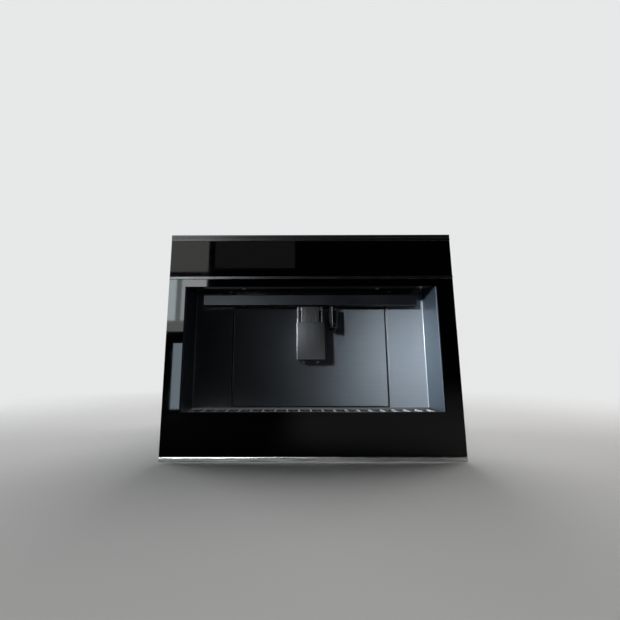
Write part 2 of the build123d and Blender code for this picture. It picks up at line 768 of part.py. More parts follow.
# ================================================================ water tank and its bay
bay_wall = 1.8
bay_floor = tank_floor - seat_gap - bay_wall
with BuildPart() as tank_bay:
    tub(tank_left - tank_play - bay_wall, tank_right + tank_play + bay_wall,
        tank_start - tank_play - bay_wall, tank_end + tank_play + bay_wall,
        bay_floor, cover_bottom, bay_wall, bay_wall)
    port_x = (tank_left + tank_right) / 2
    port_depth = tank_start + 50
    rod(port_x, port_depth, bay_floor, bay_floor + bay_wall, 9, mode=Mode.SUBTRACT)
    block(-side_inner, tank_left - tank_play - bay_wall, tank_start + 60, tank_start + 90,
          bay_floor, bay_floor + 20)
pieces["tank_bay"] = tank_bay

lid_hinge_depth = tank_end - 6
lid_hinge_height = tank_floor + tank_height + 2.5
tank_top = tank_floor + tank_height
with BuildPart() as water_tank:
    tub(tank_left, tank_right, tank_start, tank_end, tank_floor, tank_top, moulding,
        moulding)
    rod(port_x, port_depth, tank_floor, tank_floor + 12, 10)
    rod(port_x, port_depth, tank_floor - 5, tank_floor, 7)
    rod(port_x, port_depth, tank_floor - 5, tank_floor + 12, 4, mode=Mode.SUBTRACT)
    for x in (tank_left, tank_right - 5):
        block(x, x + 5, lid_hinge_depth - 3, lid_hinge_depth + 3, tank_top,
              lid_hinge_height + 3)
    pin_across(lid_hinge_depth, lid_hinge_height, tank_left, tank_right,
               lid_pin_radius + pivot_play, mode=Mode.SUBTRACT)
pieces["water_tank"] = water_tank

with BuildPart() as tank_lid:
    block(tank_left, tank_right, tank_start, lid_hinge_depth - 4.5, tank_top + seat_gap,
          tank_top + seat_gap + tank_lid_thickness)
    block(tank_left + 5.4, tank_right - 5.4, lid_hinge_depth - 4.5, lid_hinge_depth,
          tank_top + seat_gap + 0.4, tank_top + seat_gap + tank_lid_thickness)
    pin_across(lid_hinge_depth, lid_hinge_height, tank_left + 5.4, tank_right - 5.4, 2.1)
    pin_across(lid_hinge_depth, lid_hinge_height, tank_left + 0.8, tank_right - 0.8,
               lid_pin_radius)
    with BuildSketch(level(tank_top + seat_gap + tank_lid_thickness)):
        with Locations((port_x, y_at(tank_start + 26))):
            SlotOverall(40, 16)
    extrude(amount=-1.4, mode=Mode.SUBTRACT)
pieces["tank_lid"] = tank_lid

# ================================================================ hopper, lids, grinder
hopper_wall = 2.0
outlet_throat = 20.0
with BuildPart() as bean_hopper:
    block(hopper_left, hopper_right, hopper_start, hopper_end, hopper_floor, cover_bottom)
    with BuildSketch(level(hopper_floor)):
        spanned(hopper_left, hopper_right, y_at(hopper_start), y_at(hopper_end))
    with BuildSketch(level(grinder_top + 4)):
        with Locations((grinder_x, y_at(grinder_depth))):
            Circle(outlet_throat)
    loft()
    rod(grinder_x, grinder_depth, grinder_top, grinder_top + 4, outlet_throat)
    block(hopper_left + hopper_wall, hopper_right - hopper_wall, hopper_start + hopper_wall,
          hopper_end - hopper_wall, hopper_floor, cover_bottom, mode=Mode.SUBTRACT)
    with BuildSketch(level(hopper_floor)):
        spanned(hopper_left + hopper_wall, hopper_right - hopper_wall,
                y_at(hopper_start + hopper_wall), y_at(hopper_end - hopper_wall))
    with BuildSketch(level(grinder_top + 4 + hopper_wall)):
        with Locations((grinder_x, y_at(grinder_depth))):
            Circle(outlet_throat - hopper_wall)
    loft(mode=Mode.SUBTRACT)
    rod(grinder_x, grinder_depth, grinder_top, grinder_top + 4 + hopper_wall,
        outlet_throat - hopper_wall, mode=Mode.SUBTRACT)
pieces["bean_hopper"] = bean_hopper


def flap(x0, x1, d0, hinge):
    # A lid on the cover with a skirt inside its opening and a barrel with two pins.
    play = 0.5
    block(x0 - 2, x1 + 2, d0, hinge - 8, cover_top + seat_gap,
          cover_top + seat_gap + lid_thickness)
    block(x0 + 7, x1 - 7, d0 + 9, hinge - 14, cover_bottom - 4, cover_top + seat_gap)
    block(x0 + 9, x1 - 9, d0 + 11, hinge - 16, cover_bottom - 4, cover_top + seat_gap,
          mode=Mode.SUBTRACT)
    block(x0 + play, x1 - play, hinge - 8, hinge, cover_top + 1.6,
          cover_top + seat_gap + lid_thickness)
    pin_across(hinge, lid_axis_height, x0 + play, x1 - play, lid_barrel_radius)
    pin_across(hinge, lid_axis_height, x0 - lid_ear + 0.6, x1 + lid_ear - 0.6,
               lid_pin_radius)


with BuildPart() as bean_lid:
    flap(hopper_left, hopper_right, hopper_start - 2, hopper_end + 6)
pieces["bean_lid"] = bean_lid

funnel_left = grinder_x - funnel_width / 2
funnel_right = grinder_x + funnel_width / 2
with BuildPart() as ground_coffee_lid:
    flap(funnel_left, funnel_right, funnel_depth - funnel_length / 2,
         funnel_depth + funnel_length / 2 + 1)
pieces["ground_coffee_lid"] = ground_coffee_lid

# The slanting chute from the grinder joins the upright shaft for ground coffee.
chute_bore = 9.4
shaft_bore = 10.4
funnel_bottom = cover_bottom - 30
chute_face = grinder_depth - grinder_radius - 7
chute_low = Vector(grinder_x, y_at(funnel_depth), 222)
chute_high = Vector(grinder_x, y_at(grinder_depth - grinder_radius), 320)
chute_run = chute_high - chute_low


def funnel(round_radius, inset, mode):
    # From the rectangle under the lid down to the round shaft.
    with BuildSketch(level(funnel_bottom)) as low_end:
        with Locations((grinder_x, y_at(funnel_depth))):
            Circle(round_radius)
    with BuildSketch(level(cover_bottom)) as high_end:
        with Locations((grinder_x, y_at(funnel_depth))):
            Rectangle(funnel_width - inset, funnel_length - inset)
    loft([low_end.sketch, high_end.sketch], mode=mode)


with BuildPart() as coffee_chute:
    rod(grinder_x, funnel_depth, 212, funnel_bottom, shaft_bore + 1.6)
    funnel(shaft_bore + 1.6, 4, Mode.ADD)
    with BuildSketch(Plane(origin=chute_low, z_dir=chute_run)):
        Circle(chute_bore + 1.6)
    extrude(amount=chute_run.length)
    with BuildSketch(Plane(origin=chute_low, z_dir=chute_run)):
        Circle(chute_bore)
    extrude(amount=chute_run.length, mode=Mode.SUBTRACT)
    rod(grinder_x, funnel_depth, 212, funnel_bottom, shaft_bore, mode=Mode.SUBTRACT)
    funnel(shaft_bore, 8, Mode.SUBTRACT)
    block(grinder_x - 30, grinder_x + 30, chute_face, chute_face + 50, 250, 360,
          mode=Mode.SUBTRACT)
pieces["coffee_chute"] = coffee_chute

with BuildPart() as grinder_housing:
    rod(grinder_x, grinder_depth, grinder_bottom, grinder_top, grinder_radius)
    rod(grinder_x, grinder_depth, grinder_bottom + 10, grinder_top - 6, grinder_radius - 6,
        mode=Mode.SUBTRACT)
    rod(grinder_x, grinder_depth, grinder_top - 6, grinder_top, outlet_throat - 3,
        mode=Mode.SUBTRACT)
    rod(grinder_x, grinder_depth, grinder_bottom, grinder_bottom + 10,
        shaft_radius + pivot_play, mode=Mode.SUBTRACT)
    block(grinder_x + grinder_radius - 4, dial_x + 12, dial_depth - 12, dial_depth + 12,
          grinder_top - 6, grinder_top)
    rod(dial_x, dial_depth, grinder_top - 6, grinder_top, journal_radius + pivot_play,
        mode=Mode.SUBTRACT)
    block(grinder_x - 14, grinder_x + 14, chute_face, grinder_depth - grinder_radius + 4,
          grinder_bottom, 334)
    pin_back(grinder_x, 320, chute_face, grinder_depth, chute_bore, mode=Mode.SUBTRACT)
    block(grinder_x + grinder_radius - 6, side_inner, 306, 330, grinder_bottom,
          grinder_bottom + 3)
    block(side_inner - 2, side_inner, 306, 330, grinder_bottom - 20, grinder_bottom + 3)
pieces["grinder_housing"] = grinder_housing

burr_base = 322.0
with BuildPart() as upper_burr:
    rod(grinder_x, grinder_depth, burr_base + 12, grinder_top - 6, burr_radius)
    rod(grinder_x, grinder_depth, burr_base + 12, grinder_top - 6, outlet_throat - 4,
        mode=Mode.SUBTRACT)
pieces["upper_burr"] = upper_burr

with BuildPart() as lower_burr:
    rod(grinder_x, grinder_depth, burr_base, burr_base + 10, burr_radius)
    with BuildSketch(level(burr_base + 10)):
        with Locations((grinder_x, y_at(grinder_depth))):
            with PolarLocations(burr_radius - 7, 18):
                Rectangle(12, 1.6, rotation=18)
    extrude(amount=-2, mode=Mode.SUBTRACT)
    rod(grinder_x, grinder_depth, burr_base + 10, burr_base + 20, 8)
    rod(grinder_x, grinder_depth, 240, burr_base, shaft_radius)
pieces["lower_burr"] = lower_burr

motor_bottom = 228.0
with BuildPart() as grinder_motor:
    rod(grinder_x, grinder_depth, motor_bottom, grinder_bottom - 6, 34)
    rod(grinder_x, grinder_depth, grinder_bottom - 6, grinder_bottom, 37)
    rod(grinder_x, grinder_depth, motor_bottom + 10, grinder_bottom,
        shaft_radius + pivot_play, mode=Mode.SUBTRACT)
    rod(grinder_x, grinder_depth, motor_bottom - 6, motor_bottom, 10)
pieces["grinder_motor"] = grinder_motor

with BuildPart() as grind_dial:
    rod(dial_x, dial_depth, cover_top + seat_gap, cover_top + 8, 16)
    grip = grind_dial.edges().group_by(Axis.Z)[-1]
    fillet(grip, 1.2)
    with BuildSketch(level(cover_top + 8)):
        with Locations((dial_x, y_at(dial_depth))):
            with PolarLocations(16.4, 24):
                Circle(0.9)
    extrude(amount=-6, mode=Mode.SUBTRACT)
    rod(dial_x, dial_depth, grinder_top - 9, cover_top + seat_gap, journal_radius)
pieces["grind_dial"] = grind_dial

# ================================================================ brewing
frame_left = -163.0
frame_right = 163.0
frame_start = 94.0
shelf_top = brew_shelf + 3
plate_top = brew_plate + 4
dock_back = 112.0
chamber_port_depth = 200.0
chamber_port_height = 110.0
coffee_port_x = 57.0
coffee_port_height = 177.0
with BuildPart() as brew_frame:
    block(frame_left, frame_right, frame_start, 270, brew_shelf, shelf_top)
    block(frame_left, frame_left + 3, frame_start, 270, shelf_top, 230)
    block(frame_right - 3, frame_right, frame_start, 270, shelf_top, brew_plate)
    block(-2, 1, frame_start + 2, 270, shelf_top, brew_plate)
    block(frame_left, -2, 267, 270, shelf_top, 230)
    block(-10, frame_right, frame_start, 198, brew_plate, plate_top)
    rod(brew_x, brew_depth, shelf_top, chamber_floor + 4, 22)
    rod(brew_x, brew_depth, chamber_floor, chamber_top, chamber_radius + 4)
    rod(brew_x, brew_depth, chamber_floor + 4, chamber_top, chamber_radius,
        mode=Mode.SUBTRACT)
    rod(brew_x, brew_depth, brew_plate, plate_top, 22, mode=Mode.SUBTRACT)
    for z0, z1 in ((brew_shelf, shelf_top), (brew_plate, plate_top)):
        rod(spindle_x, brew_depth, z0, z1, journal_radius + pivot_play, mode=Mode.SUBTRACT)
    block(-5, 5, frame_start, dock_back, plate_top, coffee_duct_height - 4)
    pin_back(0, coffee_duct_height, frame_start, dock_back, 7)
    pin_back(0, coffee_duct_height, frame_start, dock_back - 4, 2.5, mode=Mode.SUBTRACT)
    pin_back(water_nozzle_x, water_duct_height, frame_start, dock_back, 8.5)
    pin_back(water_nozzle_x, water_duct_height, frame_start, dock_back - 4, 2.5,
             mode=Mode.SUBTRACT)
    # Water comes in under the chamber and coffee leaves from its side.
    block(brew_x - 5, brew_x + 5, brew_depth + 18, chamber_port_depth,
          chamber_port_height - 5, chamber_port_height + 5)
    block(coffee_port_x, brew_x - chamber_radius - 2, brew_depth - 5, brew_depth + 5,
          coffee_port_height - 5, coffee_port_height + 5)
    # A slide brings the grounds from the chute over the rim of the chamber.
    with BuildSketch(beside(brew_x - 13)):
        with BuildLine():
            Polyline(
                (y_at(brew_depth + 27), chamber_top - 3),
                (y_at(brew_depth + 54), chamber_top + 13),
                (y_at(brew_depth + 54), chamber_top + 17),
                (y_at(brew_depth + 27), chamber_top),
                close=True,
            )
        make_face()
    extrude(amount=26)
    # Motor and gear case of the spindle.
    block(spindle_x - 24, spindle_x + 14, brew_depth - 20, brew_depth + 20,
          brew_shelf - 26, brew_shelf)
    rod(spindle_x - 10, brew_depth, base_bottom + sheet, brew_shelf - 26, 15)
    rod(spindle_x, brew_depth, brew_shelf - 16, brew_shelf, journal_radius + pivot_play,
        mode=Mode.SUBTRACT)
    for x in (frame_left + 8, frame_right - 8):
        for depth in (frame_start + 8, 262):
            rod(x, depth, base_bottom + sheet, brew_shelf, 5)
pieces["brew_frame"] = brew_frame

piston_bottom = 225.0
with BuildPart() as brew_piston:
    rod(brew_x, brew_depth, piston_bottom, piston_bottom + 12, chamber_radius - 0.3)
    rod(brew_x, brew_depth, piston_bottom + 12, piston_bottom + 37, 8)
    block(brew_x - 8, spindle_x, brew_depth - 8, brew_depth + 8, piston_bottom + 37,
          piston_bottom + 47)
    rod(spindle_x, brew_depth, piston_bottom + 25, piston_bottom + 51, 11)
    rod(spindle_x, brew_depth, piston_bottom + 25, piston_bottom + 51,
        spindle_radius + 0.3, mode=Mode.SUBTRACT)
pieces["brew_piston"] = brew_piston

with BuildPart() as brew_spindle:
    rod(spindle_x, brew_depth, shelf_top + 0.5, brew_plate - 0.5, spindle_radius)
    rod(spindle_x, brew_depth, brew_shelf - 12, shelf_top + 0.5, journal_radius)
    rod(spindle_x, brew_depth, brew_plate - 0.5, plate_top + 3, journal_radius)
pieces["brew_spindle"] = brew_spindle

with BuildPart() as grounds_container:
    tub(frame_left + 5, -6, frame_start + 3, 262, shelf_top + seat_gap, 205, 2.4, 2.4)
    block(-110, -54, frame_start + 1, frame_start + 3, 185, 205)
pieces["grounds_container"] = grounds_container

# ================================================================ water
boiler_cap = base_bottom + boiler_height
boiler_port = boiler_cap + 18
port_offset = 9.0
with BuildPart() as boilers:
    for x in boiler_spots:
        rod(x, boiler_depth, base_bottom + sheet, base_bottom + sheet + 8, boiler_radius + 4)
        rod(x, boiler_depth, base_bottom + sheet + 8, boiler_cap, boiler_radius)
        rod(x, boiler_depth, boiler_cap, boiler_cap + 10, 18)
        for offset_back in (-port_offset, port_offset):
            rod(x, boiler_depth + offset_back, boiler_cap + 10, boiler_port, 5)
    pin_across(boiler_depth, 60, boiler_spots[0], boiler_spots[1], 5)
pieces["boilers"] = boilers

pump_x = 30.0
pump_height = 52.0
pump_front = 314.0
pump_back = 444.0
with BuildPart() as water_pump:
    pin_back(pump_x, pump_height, pump_front, 320, 5)
    pin_back(pump_x, pump_height, 320, 400, 24)
    pin_back(pump_x, pump_height, 400, 430, 14)
    pin_back(pump_x, pump_height, 430, pump_back, 5)
    for depth in (330, 380):
        block(pump_x - 10, pump_x + 10, depth, depth + 10, base_bottom + sheet, pump_height)
pieces["water_pump"] = water_pump

meter_bottom = 196.0
with BuildPart() as flow_meter:
    rod(port_x, port_depth, meter_bottom, meter_bottom + 16, 18)
    rod(port_x, port_depth, meter_bottom + 16, tank_floor - 5.5, 5)
    block(port_x - 6, port_x + 6, port_depth + 15, port_depth + 28, meter_bottom, bay_floor)
pieces["flow_meter"] = flow_meter

hose_radius = 3.5


def hose(*stops):
    # A round hose through these (x, depth, z) stops with an easy bend at each.
    corners = [(x, y_at(depth), z) for x, depth, z in stops]
    with BuildLine() as route:
        FilletPolyline(*corners, radius=9)
    with BuildSketch(Plane(origin=route.line @ 0, z_dir=route.line % 0)) as bore:
        Circle(hose_radius)
    sweep(bore.sketch, path=route.line)


front_port = boiler_depth - port_offset
rear_port = boiler_depth + port_offset
steam_x, coffee_x = boiler_spots
with BuildPart() as water_hoses:
    # Tank to pump, pump to boilers, boilers to the brewing chamber and the hot water.
    hose((port_x, port_depth, meter_bottom), (port_x, port_depth, pump_height),
         (pump_x, port_depth, pump_height), (pump_x, pump_front, pump_height))
    hose((pump_x, pump_back, pump_height), (pump_x, 457, pump_height),
         (-10, 457, pump_height), (-10, 457, 195), (-10, rear_port, 195),
         (coffee_x, rear_port, 195), (coffee_x, rear_port, boiler_port))
    hose((coffee_x, front_port, boiler_port), (coffee_x, front_port, 195),
         (brew_x, front_port, 195), (brew_x, front_port, chamber_port_height),
         (brew_x, chamber_port_depth, chamber_port_height))
    hose((steam_x, front_port, boiler_port), (steam_x, front_port, water_duct_height),
         (steam_x, 250, water_duct_height), (water_nozzle_x, 250, water_duct_height),
         (water_nozzle_x, dock_back, water_duct_height))
    hose((coffee_port_x, brew_depth, coffee_port_height), (30, brew_depth, coffee_port_height),
         (30, 217, coffee_port_height), (30, 217, coffee_duct_height),
         (0, 217, coffee_duct_height), (0, dock_back, coffee_duct_height))
pieces["water_hoses"] = water_hoses

# ================================================================ power
board_x = 255.0
with BuildPart() as power_board:
    block(board_x, board_x + 1.6, 120, 296, 120, 320)
    for depth in (128, 288):
        for z in (128, 312):
            pin_across(depth, z, board_x + 1.6, side_inner, 3.5)
    block(board_x - 34, board_x, 135, 180, 140, 190)
    block(board_x - 22, board_x, 135, 160, 230, 250)
    for fin in range(7):
        block(board_x - 26, board_x, 200 + fin * 6, 202 + fin * 6, 225, 285)
    block(board_x - 8, board_x, 200, 238, 225, 285)
    for depth, z in ((200, 150), (222, 150), (200, 175)):
        pin_across(depth, z, board_x, board_x - 28, 9)
    for z in (215, 240, 265, 290):
        block(board_x - 12, board_x, 262, 276, z, z + 18)
    for z in (280, 300):
        block(board_x - 14, board_x, 140, 165, z - 8, z + 8)
pieces["power_board"] = power_board

fan_half = fan_size / 2
fan_front = rear_inner - fan_depth
fan_axle = 2.0
with BuildPart() as fan_frame:
    block(fan_x - fan_half, fan_x + fan_half, fan_front, rear_inner, fan_height - fan_half,
          fan_height + fan_half)
    pin_back(fan_x, fan_height, fan_front, rear_inner, fan_half - 2, mode=Mode.SUBTRACT)
    pin_back(fan_x, fan_height, rear_inner - 4, rear_inner, 15)
    for angle in range(4):
        with BuildSketch(facing(rear_inner - 4)):
            with Locations((fan_x, fan_height)):
                Rectangle(fan_size - 3, 3, rotation=angle * 45 + 22)
        extrude(amount=-4)
    pin_back(fan_x, fan_height, rear_inner - 4, rear_inner, fan_axle + pivot_play,
             mode=Mode.SUBTRACT)
    for x in (fan_x - fan_half + 5, fan_x + fan_half - 5):
        for z in (fan_height - fan_half + 5, fan_height + fan_half - 5):
            pin_back(x, z, fan_front, rear_inner, 2.2, mode=Mode.SUBTRACT)
pieces["fan_frame"] = fan_frame

with BuildPart() as fan_rotor:
    pin_back(fan_x, fan_height, fan_front + 2, rear_inner - 5, 15.5)
    pin_back(fan_x, fan_height, rear_inner - 5, rear_inner - 0.4, fan_axle)
    for blade in range(7):
        turn = radians(blade * 360 / 7)
        outward = Vector(cos(turn), 0, sin(turn))
        root = Vector(fan_x, y_at(fan_front + 11), fan_height) + outward * 13
        with BuildSketch(Plane(origin=root, x_dir=(0, 1, 0), z_dir=outward)):
            Rectangle(15, 1.4, rotation=38)
        extrude(amount=22)
pieces["fan_rotor"] = fan_rotor

# Appliance inlet with its three pins, and the housing of the switch beside it.
rocker_half = 9.0
rocker_depth = rear_outer - 6
with BuildPart() as power_inlet:
    block(inlet_x - 15, inlet_x + 15, 448, rear_outer, rear_port_height - 11.5,
          rear_port_height + 11.5)
    block(inlet_x - 18, inlet_x + 18, rear_outer, overall_depth, rear_port_height - 15,
          rear_port_height + 15)
    block(inlet_x - 12, inlet_x + 12, overall_depth - 17, overall_depth,
          rear_port_height - 9, rear_port_height + 9, mode=Mode.SUBTRACT)
    for x, z in ((0, 2), (-7, -2), (7, -2)):
        block(inlet_x + x - 1, inlet_x + x + 1, overall_depth - 17, overall_depth - 2,
              rear_port_height + z - 2, rear_port_height + z + 2)
    block(rocker_x - 10.5, rocker_x + 10.5, 450, rear_outer, rear_port_height - 13.5,
          rear_port_height + 13.5)
    block(rocker_x - 13, rocker_x + 13, rear_outer, overall_depth - 0.6,
          rear_port_height - 16, rear_port_height + 16)
    block(rocker_x - rocker_half - 0.3, rocker_x + rocker_half + 0.3, rocker_depth - 7,
          overall_depth, rear_port_height - 12.4, rear_port_height + 12.4,
          mode=Mode.SUBTRACT)
    pin_across(rocker_depth, rear_port_height, rocker_x - 10.5, rocker_x + 10.5,
               lid_pin_radius + pivot_play, mode=Mode.SUBTRACT)
pieces["power_inlet"] = power_inlet

# The rocker is drawn at mid tilt, then turned to its off position.
rocker_tilt = 7.0
with BuildPart() as power_rocker:
    with BuildSketch(beside(rocker_x - rocker_half)):
        with BuildLine():
            Polyline(
                (y_at(rocker_depth + 4.6), rear_port_height - 11),
                (y_at(rocker_depth + 3.2), rear_port_height),
                (y_at(rocker_depth + 4.6), rear_port_height + 11),
                (y_at(rocker_depth - 3), rear_port_height + 10),
                (y_at(rocker_depth - 3), rear_port_height - 10),
                close=True,
            )
        make_face()
    extrude(amount=rocker_half * 2)
    pin_across(rocker_depth, rear_port_height, rocker_x - 10.3, rocker_x + 10.3,
               lid_pin_radius)
tilt_axis = Axis((rocker_x, y_at(rocker_depth), rear_port_height), (1, 0, 0))
power_rocker.part = power_rocker.part.rotate(tilt_axis, rocker_tilt)
pieces["power_rocker"] = power_rocker

os.makedirs("parts", exist_ok=True)
for name, piece in pieces.items():
    piece.part.label = name
    export_step(piece.part, f"parts/{name}.step")
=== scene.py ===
import json
import math

import bpy
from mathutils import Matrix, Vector


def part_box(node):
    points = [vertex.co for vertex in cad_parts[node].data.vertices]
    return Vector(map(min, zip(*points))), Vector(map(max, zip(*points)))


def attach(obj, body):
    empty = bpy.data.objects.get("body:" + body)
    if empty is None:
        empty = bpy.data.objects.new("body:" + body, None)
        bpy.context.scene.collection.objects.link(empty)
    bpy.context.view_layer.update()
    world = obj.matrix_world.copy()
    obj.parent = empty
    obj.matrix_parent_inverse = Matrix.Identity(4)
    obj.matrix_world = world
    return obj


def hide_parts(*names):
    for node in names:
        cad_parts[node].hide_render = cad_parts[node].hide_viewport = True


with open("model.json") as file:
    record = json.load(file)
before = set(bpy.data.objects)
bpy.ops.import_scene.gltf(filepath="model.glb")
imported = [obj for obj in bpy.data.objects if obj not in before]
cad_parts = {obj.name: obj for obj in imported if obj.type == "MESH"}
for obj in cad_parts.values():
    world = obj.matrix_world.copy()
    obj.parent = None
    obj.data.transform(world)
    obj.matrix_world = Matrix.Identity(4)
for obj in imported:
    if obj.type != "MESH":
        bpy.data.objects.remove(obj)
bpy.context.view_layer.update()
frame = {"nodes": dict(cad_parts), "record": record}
nodes = frame["nodes"]
print("frame loaded:", len(nodes), "nodes")


# --- small tools for modelling by hand ---

upright = 1e-6   # an edge is upright when its ends are closer than this across
faces = 0.9      # a face looks along an axis when its normal's share is larger
smoothAngle = 35


def deselectAll():
    if bpy.context.mode != "OBJECT":
        bpy.ops.object.mode_set(mode="OBJECT")
    bpy.ops.object.select_all(action="DESELECT")


def pick(piece):
    deselectAll()
    piece.select_set(True)
    bpy.context.view_layer.objects.active = piece


def applyPlace(piece):
    pick(piece)
    bpy.ops.object.transform_apply(location=True, rotation=True, scale=True)


def addBlock(name, low, high):
    deselectAll()
    middle = [(a + b) / 2 for a, b in zip(low, high)]
    bpy.ops.mesh.primitive_cube_add(size=1, location=middle)
    piece = bpy.context.active_object
    piece.name = name
    piece.scale = [b - a for a, b in zip(low, high)]
    applyPlace(piece)
    return piece


def addRound(name, start, end, radius, sides=48):
    deselectAll()
    start, end = Vector(start), Vector(end)
    along = end - start
    bpy.ops.mesh.primitive_cylinder_add(
        vertices=sides, radius=radius, depth=along.length, location=(start + end) / 2,
        rotation=along.to_track_quat("Z", "Y").to_euler())
    piece = bpy.context.active_object
    piece.name = name
    applyPlace(piece)
    return piece


def selectFaces(piece, test):
    # goes into edit mode with only the faces chosen by test(centre, normal) selected
    pick(piece)
    bpy.ops.object.mode_set(mode="EDIT")
    bpy.ops.mesh.select_mode(type="FACE")
    bpy.ops.mesh.select_all(action="DESELECT")
    bpy.ops.object.mode_set(mode="OBJECT")
    for face in piece.data.polygons:
        face.select = bool(test(face.center, face.normal))
    bpy.ops.object.mode_set(mode="EDIT")


def selectEdges(piece, test):
    # the same for edges, chosen by their two ends
    pick(piece)
    bpy.ops.object.mode_set(mode="EDIT")
    bpy.ops.mesh.select_mode(type="EDGE")
    bpy.ops.mesh.select_all(action="DESELECT")
    bpy.ops.object.mode_set(mode="OBJECT")
    points = piece.data.vertices
    for edge in piece.data.edges:
        a, b = (points[i].co for i in edge.vertices)
        edge.select = bool(test(a, b))
    bpy.ops.object.mode_set(mode="EDIT")


def leaveEdit():
    bpy.ops.object.mode_set(mode="OBJECT")


def bevelEdges(piece, width, segments=3, angle=30):
    pick(piece)
    bevel = piece.modifiers.new("edges", "BEVEL")
    bevel.width = width
    bevel.segments = segments
    bevel.limit_method = "ANGLE"
    bevel.angle_limit = math.radians(angle)
    bpy.ops.object.modifier_apply(modifier=bevel.name)


def roundUprights(piece, radius, segments):
    # rounds the upright edges of a block
    selectEdges(piece, lambda a, b: abs(a.x - b.x) + abs(a.y - b.y) < upright)
    bpy.ops.mesh.bevel(offset=radius, segments=segments)
    leaveEdit()


def makeOpening(piece, border, facing):
    # leaves a frame of a block: the middle of its two faces along one axis becomes a hole
    selectFaces(piece, lambda centre, normal: abs(getattr(normal, facing)) > faces)
    bpy.ops.mesh.inset(thickness=border, depth=0)
    bpy.ops.mesh.bridge_edge_loops()
    leaveEdit()


def carveOut(piece, cut):
    pick(piece)
    carve = piece.modifiers.new("cut", "BOOLEAN")
    carve.object = cut
    carve.operation = "DIFFERENCE"
    bpy.ops.object.modifier_apply(modifier=carve.name)
    bpy.data.objects.remove(cut)


def joinPieces(pieces, name):
    deselectAll()
    for piece in pieces:
        piece.select_set(True)
    bpy.context.view_layer.objects.active = pieces[0]
    bpy.ops.object.join()
    whole = bpy.context.active_object
    whole.name = name
    pick(whole)
    bpy.ops.object.transform_apply(location=True, rotation=True, scale=True)
    return whole


def copyPiece(piece, shift):
    twin = piece.copy()
    twin.data = piece.data.copy()
    bpy.context.collection.objects.link(twin)
    twin.location = Vector(twin.location) + Vector(shift)
    return twin


def finishPiece(piece, material, body, slot, *replaced):
    pick(piece)
    bpy.ops.object.shade_smooth_by_angle(angle=math.radians(smoothAngle))
    piece.data.materials.clear()
    piece.data.materials.append(material)
    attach(piece, body)
    if replaced:
        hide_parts(*replaced)


# --- node groups shared by the materials ---

noiseRange = (0.3, 0.7)   # nearly all values of a noise lie between these


def newGroup(name, inputs, outputs):
    group = bpy.data.node_groups.new(name, "ShaderNodeTree")
    for label, value in inputs:
        socket = group.interface.new_socket(label, in_out="INPUT", socket_type="NodeSocketFloat")
        socket.default_value = value
    for label in outputs:
        group.interface.new_socket(label, in_out="OUTPUT", socket_type="NodeSocketFloat")
    start = group.nodes.new("NodeGroupInput")
    end = group.nodes.new("NodeGroupOutput")
    return group, start, end


def stretchedVector(group, start):
    # the object's coordinates, scaled by the group's Along inputs
    coordinates = group.nodes.new("ShaderNodeTexCoord")
    scales = group.nodes.new("ShaderNodeCombineXYZ")
    for axis in "XYZ":
        group.links.new(start.outputs["Along " + axis], scales.inputs[axis])
    product = group.nodes.new("ShaderNodeVectorMath")
    product.operation = "MULTIPLY"
    group.links.new(coordinates.outputs["Object"], product.inputs[0])
    group.links.new(scales.outputs[0], product.inputs[1])
    return product.outputs[0]


def feed(tree, socket, source):
    # links another node's output to the socket, or sets the socket's own value
    if hasattr(source, "links"):
        tree.links.new(source, socket)
    else:
        socket.default_value = source


def mathNode(tree, operation, *sources):
    node = tree.nodes.new("ShaderNodeMath")
    node.operation = operation
    for socket, source in zip(node.inputs, sources):
        feed(tree, socket, source)
    return node


def rangeNode(tree, value, start, end, low=0.0, high=1.0, smooth=False):
    # spreads values between start and end over low to high
    spread = tree.nodes.new("ShaderNodeMapRange")
    if smooth:
        spread.interpolation_type = "SMOOTHSTEP"
    tree.links.new(value, spread.inputs["Value"])
    for name, source in (("From Min", start), ("From Max", end), ("To Min", low),
                         ("To Max", high)):
        feed(tree, spread.inputs[name], source)
    return spread.outputs["Result"]


def mixColours(tree, share, first, second):
    mix = tree.nodes.new("ShaderNodeMix")
    mix.data_type = "RGBA"
    tree.links.new(share, mix.inputs["Factor"])
    for name, source in (("A", first), ("B", second)):
        feed(tree, mix.inputs[name], source if hasattr(source, "links") else (*source, 1))
    return mix.outputs["Result"]


def addNoise(group, vector, settings):
    noise = group.nodes.new("ShaderNodeTexNoise")
    for name, value in settings.items():
        noise.inputs[name].default_value = value
    group.links.new(vector, noise.inputs["Vector"])
    return noise.outputs["Fac"]


def putOut(group, start, end, height, pattern):
    # the outputs that every finish has
    group.links.new(height, end.inputs["Height"])
    group.links.new(
        rangeNode(group, pattern, *noiseRange, start.outputs["Low"], start.outputs["High"]),
        end.inputs["Roughness"])
    group.links.new(rangeNode(group, pattern, *noiseRange), end.inputs["Tone"])


def makeGrainGroup():
    # long fine lines, as brushing leaves on metal
    group, start, end = newGroup(
        "brushedGrain",
        [("Along X", 20), ("Along Y", 900), ("Along Z", 900), ("Low", 0.25), ("High", 0.4)],
        ["Height", "Roughness", "Tone"])
    lines = addNoise(group, stretchedVector(group, start),
                     {"Scale": 1, "Detail": 5, "Roughness": 0.65})
    putOut(group, start, end, lines, lines)
    return group


